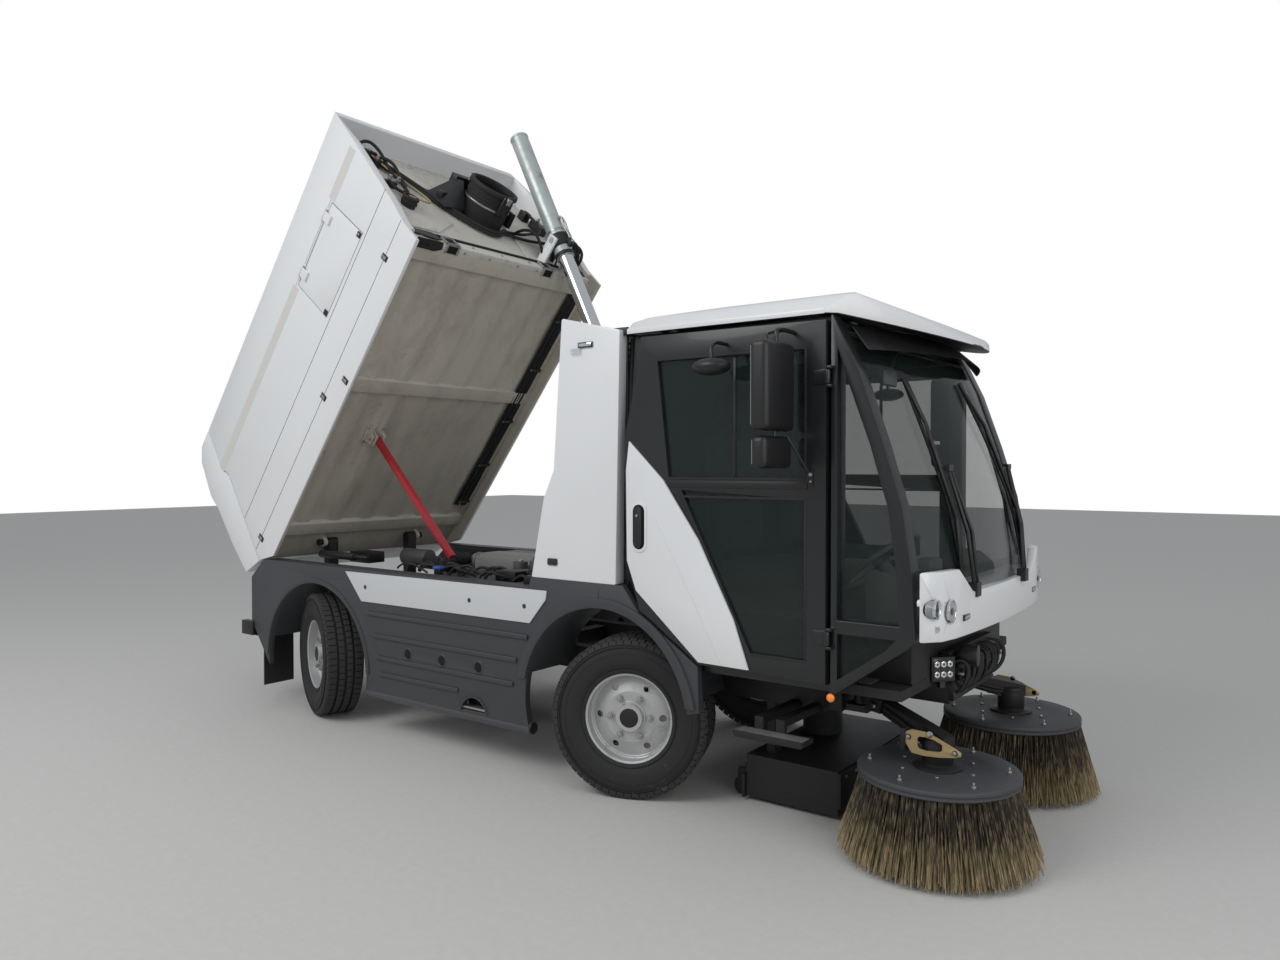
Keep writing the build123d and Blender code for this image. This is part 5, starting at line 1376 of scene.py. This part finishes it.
    def inside(self):
        piece = Workpiece("cab_fittings", "grey_trim")
        piece.box((1150, -120, 1020), (1240, 40, 1120))
        piece.box((900, -60, 1000), (1100, 60, 1060))
        piece.box((460, -60, 905), (900, 60, 1090))
        piece.finish("chassis", "cab_black", bevel=16, segments=4)
        cheeks = Workpiece("dash_cheeks", "grey_trim")
        cheeks.plate([(1140, -607, 850), (1322, -607, 850), (1322, -607, 990), (1296, -607, 1062),
                      (1240, -607, 1108), (1140, -607, 1120)], (0, 8, 0))
        cheeks.finish("chassis", "cab_black", both=True, bevel=3)
        lining = Workpiece("cab_lining", "lining")
        lining.box((87, -715, 960), (100, 715, 2040))
        lining.box((100, -560, 1040), (112, -40, 1640))
        lining.box((100, 40, 1040), (112, 560, 1640))
        lining.box((190, -700, 906), (1180, 700, 914))
        lining.box((900, -690, 674), (1200, 690, 682))
        lining.finish("chassis", "cab_black", bevel=4)
        visor = Workpiece("screen_visor", "black_plastic")
        steps = [-680 + 85 * n for n in range(17)]
        for here, there in pairwise(steps):
            top = [screen(y, 2085, 16) for y in (here, there)]
            low = [screen(y, 1985, 34 + 40 * (1 - (y / 700) ** 2)) for y in (there, here)]
            visor.plate([*top, *low], (8, 0, -6))
        visor.finish("chassis", "cab_black", smooth=60)
        small = Workpiece("cab_controls", "black_plastic")
        small.box((1128, -90, 1125), (1140, 20, 1215))
        small.rod((1000, 0, 1055), (1010, 0, 1130), 12, 12)
        small.ball((1012, 0, 1150), 24)
        small.box((1085, -330, 1880), (1100, -170, 1950))
        small.use("steel").box((1099, -324, 1886), (1103, -176, 1944))
        small.use("black_plastic").rod((1100, -250, 1940), (1130, -250, 2040), 8, 10)
        small.box((1075, -640, 2035), (1135, 640, 2048), (0, 0.35, 0))
        small.finish("chassis", "cab_black", bevel=4)

    def seats(self):
        middle = Vector((0, -SEAT_Y, 0))
        for name, low, high, rest, off, along, ends, places in PADS:
            pad = Workpiece(f"{name}_{SIDES[0][0]}", "cloth")
            pad.box(middle + Vector(low), middle + Vector(high))
            near = pad.finish("chassis", "seat_cloth", bevel=28, segments=4)
            swell(near, rest)
            left, right = -SEAT_Y - off, -SEAT_Y + off
            channels = [(1, left, along, *ends), (1, right, along, *ends)]
            channels += [(along, place, 1, left, right) for place in places]
            sew(near, rest, channels)
            far = add(f"{name}_{SIDES[1][0]}", near.data.copy())
            far.data.transform(Matrix.Translation((0, 2 * SEAT_Y / 1000, 0)))
            for piece in (near, far):
                settle(piece, "chassis", "seat_cloth", smooth=180)
        for hand, side in SIDES:
            middle = side * SEAT_Y
            stand = Workpiece("seat_frame_" + hand, "frame_black")
            for shift in (-60, 60):
                stand.rod((390, middle + shift, 1660), (390, middle + shift, 1740), 9, 12)
            stand.box((440, middle - 190, 905), (820, middle + 190, 1016))
            replaced = ("seats",) if side < 0 else ()
            stand.finish("chassis", "frame_black", bevel=8, stands_for=replaced)

    def execute(self, context):
        self.wipers()
        self.lamps()
        self.markers()
        self.tail_lamps()
        self.side()
        self.rear()
        self.column()
        self.inside()
        self.seats()
        return {"FINISHED"}


# From rib to rib of a corrugated hose
RIB_GAP = 15


class SWEEPER_OT_bay(bpy.types.Operator):
    """Model the hoses, filters and boxes of the open engine bay"""

    bl_idname = "sweeper.bay"
    bl_label = "Engine bay"

    def ribbed(self, piece, path, radius):
        """A corrugated hose as close rings along straight runs."""
        for here, there in pairwise(path):
            here, there = Vector(here), Vector(there)
            run = there - here
            piece.rod(here, there, radius * 0.86, 16)
            turn = run.to_track_quat("Z", "Y").to_euler()
            for n in range(max(1, int(run.length / RIB_GAP))):
                at = here + run * (n * RIB_GAP / run.length)
                bpy.ops.mesh.primitive_torus_add(
                    location=at, rotation=turn, major_segments=18, minor_segments=6,
                    major_radius=radius * 0.88, minor_radius=radius * 0.13,
                )
                piece.paint()

    def ducts(self):
        piece = Workpiece("bay_hoses", "rubber")
        for radius, path in [
            (40, [(-760, -330, 925), (-710, -420, 952), (-640, -500, 950), (-570, -520, 925)]),
            (34, [(-800, -120, 930), (-720, -260, 955), (-610, -330, 958), (-530, -340, 950)]),
            (42, [(-1620, -330, 905), (-1640, -300, 955), (-1610, -200, 965)]),
            (36, [(-1730, -300, 905), (-1750, -270, 950), (-1720, -180, 965)]),
        ]:
            self.ribbed(piece, path, radius)
        piece.finish("chassis", "hose_black", smooth=50)
        duct = Workpiece("air_collars", "duct_grey")
        y, z = -150, 945
        for x, r in [(-1510, 52), (-1530, 56), (-1556, 52), (-1576, 56)]:
            duct.lathe([(r - 16, 0), (r, 4), (r, 16), (r - 16, 20)], 36, (x, y, z), (1, 0, 0))
        duct.rod((-1600, y, z), (-1500, y, z), 46, 32)
        duct.box((-1462, -262, 905), (-1098, -236, 985))
        duct.finish("chassis", "duct_grey", bevel=3)

    def boxes(self):
        boxes = Workpiece("bay_boxes", "black_plastic")
        # Boxes and filters: low corner, high corner
        for low, high in [
            ((-1010, -560, 905), (-860, -420, 962)), ((-700, -660, 905), (-560, -560, 965)),
            ((-2620, -330, 890), (-2420, -200, 960)), ((-1980, -250, 880), (-1830, -60, 950)),
            ((-960, 120, 890), (-760, 420, 1000)), ((-1800, 160, 890), (-1300, 420, 960)),
        ]:
            boxes.box(low, high)
        boxes.use("engine_grey")
        boxes.rod((-1040, -330, 900), (-1040, -330, 990), 42, 24)
        boxes.rod((-930, -300, 900), (-930, -300, 1000), 50, 24)
        boxes.rod((-2300, -120, 930), (-2060, -120, 930), 55, 24)
        boxes.use("steel").rod((-1040, -330, 988), (-1040, -330, 1000), 14, 6)
        boxes.use("cap_blue").lathe([(0, 956), (30, 955), (34, 950), (34, 938), (0, 938)], 24,
                                    (-1470, -560, 0))
        boxes.use("black_plastic").rod((-1470, -560, 905), (-1470, -560, 940), 26, 20)
        boxes.finish("chassis", "engine_grey", bevel=6, segments=3)

    def lines(self):
        clutter = []
        chance = random.Random(7)
        for n in range(26):
            x = -1850 + n * 50
            y = chance.uniform(-600, -440)
            clutter.append((chance.choice((6, 8, 10)), [
                (x, y, 918), (x + 40, y + chance.uniform(-30, 30), 950 + chance.uniform(0, 22)),
                (x + 110, y + chance.uniform(-40, 60), 944 + chance.uniform(0, 20)),
                (x + 160, y + chance.uniform(0, 80), 915),
            ]))
        for n in range(14):
            x = -760 + n * 16
            y = chance.uniform(-620, -330)
            clutter.append((chance.choice((8, 11)), [
                (x, y, 920), (x - 20, y + 20, 962 + chance.uniform(-20, 16)),
                (x + 60, y + chance.uniform(-30, 50), 972), (x + 100, y + 30, 940),
                (x + 120, y + 10, 905),
            ]))
        hoses("bay_lines", "chassis", "rubber", clutter)

    def hinge(self):
        posts = Workpiece("hinge_details", "frame_black")
        for side in (-1, 1):
            for near, far, radius, sides in [(395, 428, 17, 20), (426, 436, 24, 6)]:
                posts.rod((PIN.x, side * near, PIN.z), (PIN.x, side * far, PIN.z), radius, sides)
        posts.rod((-2600, -560, 962), (-2250, -560, 962), 24, 16)
        posts.rod((-2300, -560, 962), (-2120, -560, 962), 13, 12)
        posts.finish("chassis", "frame_black", bevel=1.5)

    def execute(self, context):
        self.ducts()
        self.boxes()
        self.lines()
        self.hinge()
        return {"FINISHED"}


# A right brush arm's root, and the cosine and sine of its swing outwards
ARM_X, ARM_Y, SWING_COS, SWING_SIN = 1000, -300, 0.881, 0.473
# Places across of the hydraulic valves under the nose
VALVE_YS = (-230, -130, -30, 70, 170)


def arm(along, aside, z):
    """A point along the right brush arm and to its left."""
    x = ARM_X + SWING_COS * along + SWING_SIN * aside
    return (x, ARM_Y - SWING_SIN * along + SWING_COS * aside, z)


class SWEEPER_OT_gear(bpy.types.Operator):
    """Model the links, hoses, lamp and flaps of the sweeping gear"""

    bl_idname = "sweeper.gear"
    bl_label = "Sweeping gear"

    def plates(self, hand, side):
        place = sided(side)
        outer = [(1300, 452), (1302, 486), (1330, 500), (1382, 498), (1430, 482), (1500, 452),
                 (1522, 440), (1522, 426), (1500, 418), (1440, 408), (1380, 404), (1330, 408)]
        inner = [(1352, 436), (1352, 466), (1360, 476), (1385, 478), (1420, 472), (1446, 462),
                 (1450, 456), (1450, 438), (1442, 430), (1420, 427), (1385, 425), (1360, 428)]
        piece = Workpiece("link_plate_" + hand, "tan", place)
        y = -584
        for points in (outer, inner):
            piece.chain([(x, y, z) for x, z in [*points, points[0]]])
            bpy.ops.mesh.remove_doubles(threshold=0.01)
        bpy.ops.mesh.select_all(action="SELECT")
        bpy.ops.mesh.bridge_edge_loops()
        piece.paint()
        bpy.ops.mesh.extrude_region_move(TRANSFORM_OT_translate={"value": (0, -10, 0)})
        piece.paint()
        piece.finish("link_" + hand, "link_tan", bevel=1.5, segments=1)
        bolts = Workpiece("link_bolts_" + hand, "steel", place)
        for x, z in [(1318, 470), (1500, 436), (1400, 490)]:
            bolts.rod((x, -594, z), (x, -602, z), 9, 6)
            bolts.rod((x, -584, z), (x, -594, z), 13, 16)
        bolts.use("frame_black")
        bolts.lathe([(0, 470), (52, 468), (58, 460), (61, 440), (61, 372), (56, 364), (0, 362)],
                    32, (BRUSH_X, -BRUSH_Y, 0))
        bolts.box((1286, -600, 408), (1306, -560, 500))
        bolts.finish("link_" + hand, "frame_black", bevel=2)

    def lines(self, hand, side):
        place = sided(side)
        hoses("link_hoses_" + hand, "link_" + hand, "rubber", [
            (radius, [arm(190, s, 516 + dz), arm(260, s + 3, 498 + dz), arm(340, s, 476 + dz),
                      arm(410, s, 462 + dz), arm(470, s * 0.4, 452)])
            for radius, s, dz in [(8, 40, 0), (7, 42, -17), (8, -40, -2), (7, -42, -19)]
        ], place)
        posts = Workpiece("arm_posts_" + hand, "frame_black", place)
        for aside in (-44, 44):
            posts.rod(arm(130, aside * 1.25, 520), arm(130, aside * 1.45, 520), 16, 16)
        posts.use("steel")
        for aside in (-44, 44):
            posts.rod(arm(150, aside * 1.2, 520), arm(150, aside * 1.42, 520), 9, 6)
        posts.finish("arm_" + hand, "frame_black", bevel=1)
        hoses("arm_hoses_" + hand, "arm_" + hand, "rubber", [
            (8, [arm(-10, 20, 580), arm(30, 30, 596), arm(90, 24, 574), arm(140, 12, 560)]),
            (8, [arm(-10, -20, 580), arm(30, -30, 592), arm(90, -24, 570), arm(140, -12, 558)]),
        ], place)

    def work_lamp(self):
        aim = Matrix.Translation((1368, -352, 700)) @ Matrix.Rotation(math.radians(-38), 4, "Z")
        piece = Workpiece("work_lamp", "black_plastic", ROAD @ aim)
        piece.box((-26, -54, -50), (10, 54, 50))
        piece.use("lamp_black").box((9, -47, -43), (12, 47, 43))
        for y, z in [(-30, 21), (0, 21), (30, 21), (-30, -21), (0, -21), (30, -21)]:
            piece.use("mirror").rod((11, y, z), (13, y, z), 14, 6)
            piece.use("lamp_black").rod((12, y, z), (14.5, y, z), 5, 6)
        piece.box((-20, -12, -78), (4, 12, -48))
        piece.finish("chassis", "lamp", bevel=2)

    def valves(self):
        valves = Workpiece("front_valves", "frame_black")
        for y in VALVE_YS:
            valves.rod((1290, y, 626), (1290, y, 664), 20, 16)
            valves.box((1225, y - 24, 626), (1262, y + 24, 652))
            valves.use("steel").rod((1290, y, 660), (1290, y, 676), 12, 6)
            valves.use("frame_black")
        valves.finish("chassis", "frame_black", bevel=2)
        lines = []
        for n, y in enumerate(VALVE_YS):
            lines.append((8, [
                (1290, y, 672), (1300, y + 6, 726), (1230, y + 14, 738),
                (1150, y + 8 * n - 20, 700), (1080, y * 0.8, 660), (990, y * 0.7, 630),
            ]))
            lines.append((7, [
                (1243, y, 650), (1240, y, 690), (1180, y - 10, 690),
                (1090, y - 6, 650), (960, y * 0.9, 625),
            ]))
        hoses("front_lines", "chassis", "rubber", lines)

    def fittings(self):
        extra = Workpiece("front_fittings", "black_plastic")
        extra.rod((1400, -215, 742), (1470, -205, 742), 46, 28)
        extra.rod((1396, -215, 742), (1402, -215, 742), 34, 20)
        extra.box((1380, -300, 560), (1400, -120, 650))
        extra.use("frame_black")
        for y in (-255, -100, 90, 250):
            extra.rod((1385, y, 590), (1430, y, 700), 9, 12)
            extra.box((1380, y - 14, 690), (1436, y + 14, 716))
        extra.rod((1420, -290, 706), (1420, 290, 706), 11, 16)
        extra.rod((1412, -290, 640), (1412, 290, 640), 8, 16)
        extra.use("steel")
        for y in (-270, -60, 120, 270):
            extra.rod((1406, y, 672), (1432, y, 672), 8, 6)
        extra.finish("chassis", "frame_black", bevel=2)

    def bundle(self):
        drops = []
        chance = random.Random(11)
        for n in range(16):
            y = -280 + n * 36
            drops.append((chance.choice((6, 7, 9)), [
                (1384, y, 740 - chance.uniform(0, 30)),
                (1436, y + chance.uniform(-20, 20), 742),
                (1446, y + chance.uniform(-50, 50), 660),
                (1414, y + chance.uniform(-60, 60), 590),
                (1372, y * 0.9, 566 + chance.uniform(0, 20)),
            ]))
        hoses("front_bundle", "chassis", "rubber", drops)

    def flaps(self):
        flap = Workpiece("nozzle_flaps", "rubber")
        flap.box((486, -462, 14), (500, 462, 120))
        flap.box((958, -455, 60), (970, 455, 210))
        flap.use("steel")
        for y in range(-400, 401, 100):
            flap.rod((969, y, 190), (974, y, 190), 7, 6)
        flap.finish("chassis", "frame_black", bevel=1)

    def steps(self):
        piece = Workpiece("step_treads", "step_plate")
        piece.box((645, -796, 425), (955, -722, 428))
        piece.use("frame_black").box((645, -799, 400), (955, -793, 428))
        piece.finish("chassis", "frame_black", both=True, bevel=1)

    def execute(self, context):
        for hand, side in SIDES:
            self.plates(hand, side)
            self.lines(hand, side)
        self.work_lamp()
        self.valves()
        self.fittings()
        self.bundle()
        self.flaps()
        self.steps()
        return {"FINISHED"}


# The camera of the photograph: focal length in millimetres, place in metres and turn
LENS = 25.9875
CAMERA_AT = (3.6168, -4.124, 1.537)
CAMERA_TURN = (math.radians(89.07), 0, math.radians(36.7))


class SWEEPER_OT_stage(bpy.types.Operator):
    """Set up the floor, the light and the camera"""

    bl_idname = "sweeper.stage"
    bl_label = "Stage"

    def lamp(self, name, at, target, power, size):
        data = bpy.data.lights.new(name, "AREA")
        data.energy = power
        data.shape = "DISK"
        data.size = size
        obj = add(name, data)
        obj.location = at
        obj.rotation_euler = (Vector(target) - Vector(at)).to_track_quat("-Z", "Y").to_euler()

    def world(self, scene, strength):
        world = bpy.data.worlds.new("Sky")
        scene.world = world
        world.use_nodes = True
        nodes, links = world.node_tree.nodes, world.node_tree.links
        soft = nodes["Background"]
        soft.inputs[0].default_value = (0.93, 0.96, 1.0, 1)
        soft.inputs[1].default_value = strength
        plain = nodes.new("ShaderNodeBackground")
        plain.inputs[0].default_value = (1, 1, 1, 1)
        rays = nodes.new("ShaderNodeLightPath")
        seen = nodes.new("ShaderNodeMath")
        seen.operation = "MAXIMUM"
        links.new(rays.outputs["Is Camera Ray"], seen.inputs[0])
        links.new(rays.outputs["Is Transmission Ray"], seen.inputs[1])
        blend = nodes.new("ShaderNodeMixShader")
        links.new(seen.outputs[0], blend.inputs[0])
        links.new(soft.outputs[0], blend.inputs[1])
        links.new(plain.outputs[0], blend.inputs[2])
        links.new(blend.outputs[0], nodes["World Output"].inputs["Surface"])

    def execute(self, context):
        scene, look = context.scene, context.scene.sweeper_stage
        scene.view_settings.view_transform = "Standard"
        self.world(scene, look.sky)
        bpy.ops.mesh.primitive_plane_add(size=60, location=(0, 0, 0))
        floor = context.object
        floor.name = "floor"
        ground = Finish("ground", look.floor, roughness=0.85)
        grain = ground.noise(28.0, 6.0)
        shade = [c * 0.88 for c in look.floor]
        ground.set("Base Color", ground.mix(grain, shade, look.floor))
        floor.data.materials.append(ground.material)
        self.lamp("key", (-1.5, -6.5, 6.5), (0, 0, 1.2), look.key, 5.0)
        self.lamp("fill", (6.0, -2.5, 3.0), (0.5, 0, 1.0), look.fill, 4.0)
        eye = bpy.data.cameras.new("eye")
        eye.lens, eye.sensor_width, eye.clip_end = LENS, 36, 200
        camera = add("camera", eye)
        camera.location = CAMERA_AT
        camera.rotation_euler = CAMERA_TURN
        scene.camera = camera
        return {"FINISHED"}


class SWEEPER_PT_panel(bpy.types.Panel):
    """Lists the sweeper's colours, sizes and pieces"""

    bl_label = "Compact street sweeper"
    bl_idname = "SWEEPER_PT_panel"
    bl_space_type = "VIEW_3D"
    bl_region_type = "UI"
    bl_category = "Sweeper"

    def draw(self, context):
        scene = context.scene
        for group in (scene.sweeper_colours, scene.sweeper_sizes, scene.sweeper_stage):
            section = self.layout.box()
            for name in group.__annotations__:
                section.prop(group, name)
        for operator in OPERATORS:
            self.layout.operator(operator.bl_idname)


GROUPS = [
    ("sweeper_colours", SweeperColours),
    ("sweeper_sizes", SweeperSizes),
    ("sweeper_stage", SweeperStage),
]
OPERATORS = [
    SWEEPER_OT_finishes,
    SWEEPER_OT_shells,
    SWEEPER_OT_wheels,
    SWEEPER_OT_brushes,
    SWEEPER_OT_hopper,
    SWEEPER_OT_ram,
    SWEEPER_OT_doors,
    SWEEPER_OT_cab,
    SWEEPER_OT_bay,
    SWEEPER_OT_gear,
    SWEEPER_OT_stage,
]


def register():
    for name, group in GROUPS:
        bpy.utils.register_class(group)
        setattr(bpy.types.Scene, name, PointerProperty(type=group))
    for operator in OPERATORS:
        bpy.utils.register_class(operator)
    bpy.utils.register_class(SWEEPER_PT_panel)


def unregister():
    bpy.utils.unregister_class(SWEEPER_PT_panel)
    for operator in reversed(OPERATORS):
        bpy.utils.unregister_class(operator)
    for name, group in reversed(GROUPS):
        delattr(bpy.types.Scene, name)
        bpy.utils.unregister_class(group)


def main():
    register()
    for operator in OPERATORS:
        prefix, name = operator.bl_idname.split(".")
        getattr(getattr(bpy.ops, prefix), name)()


if __name__ == "__main__":
    main()
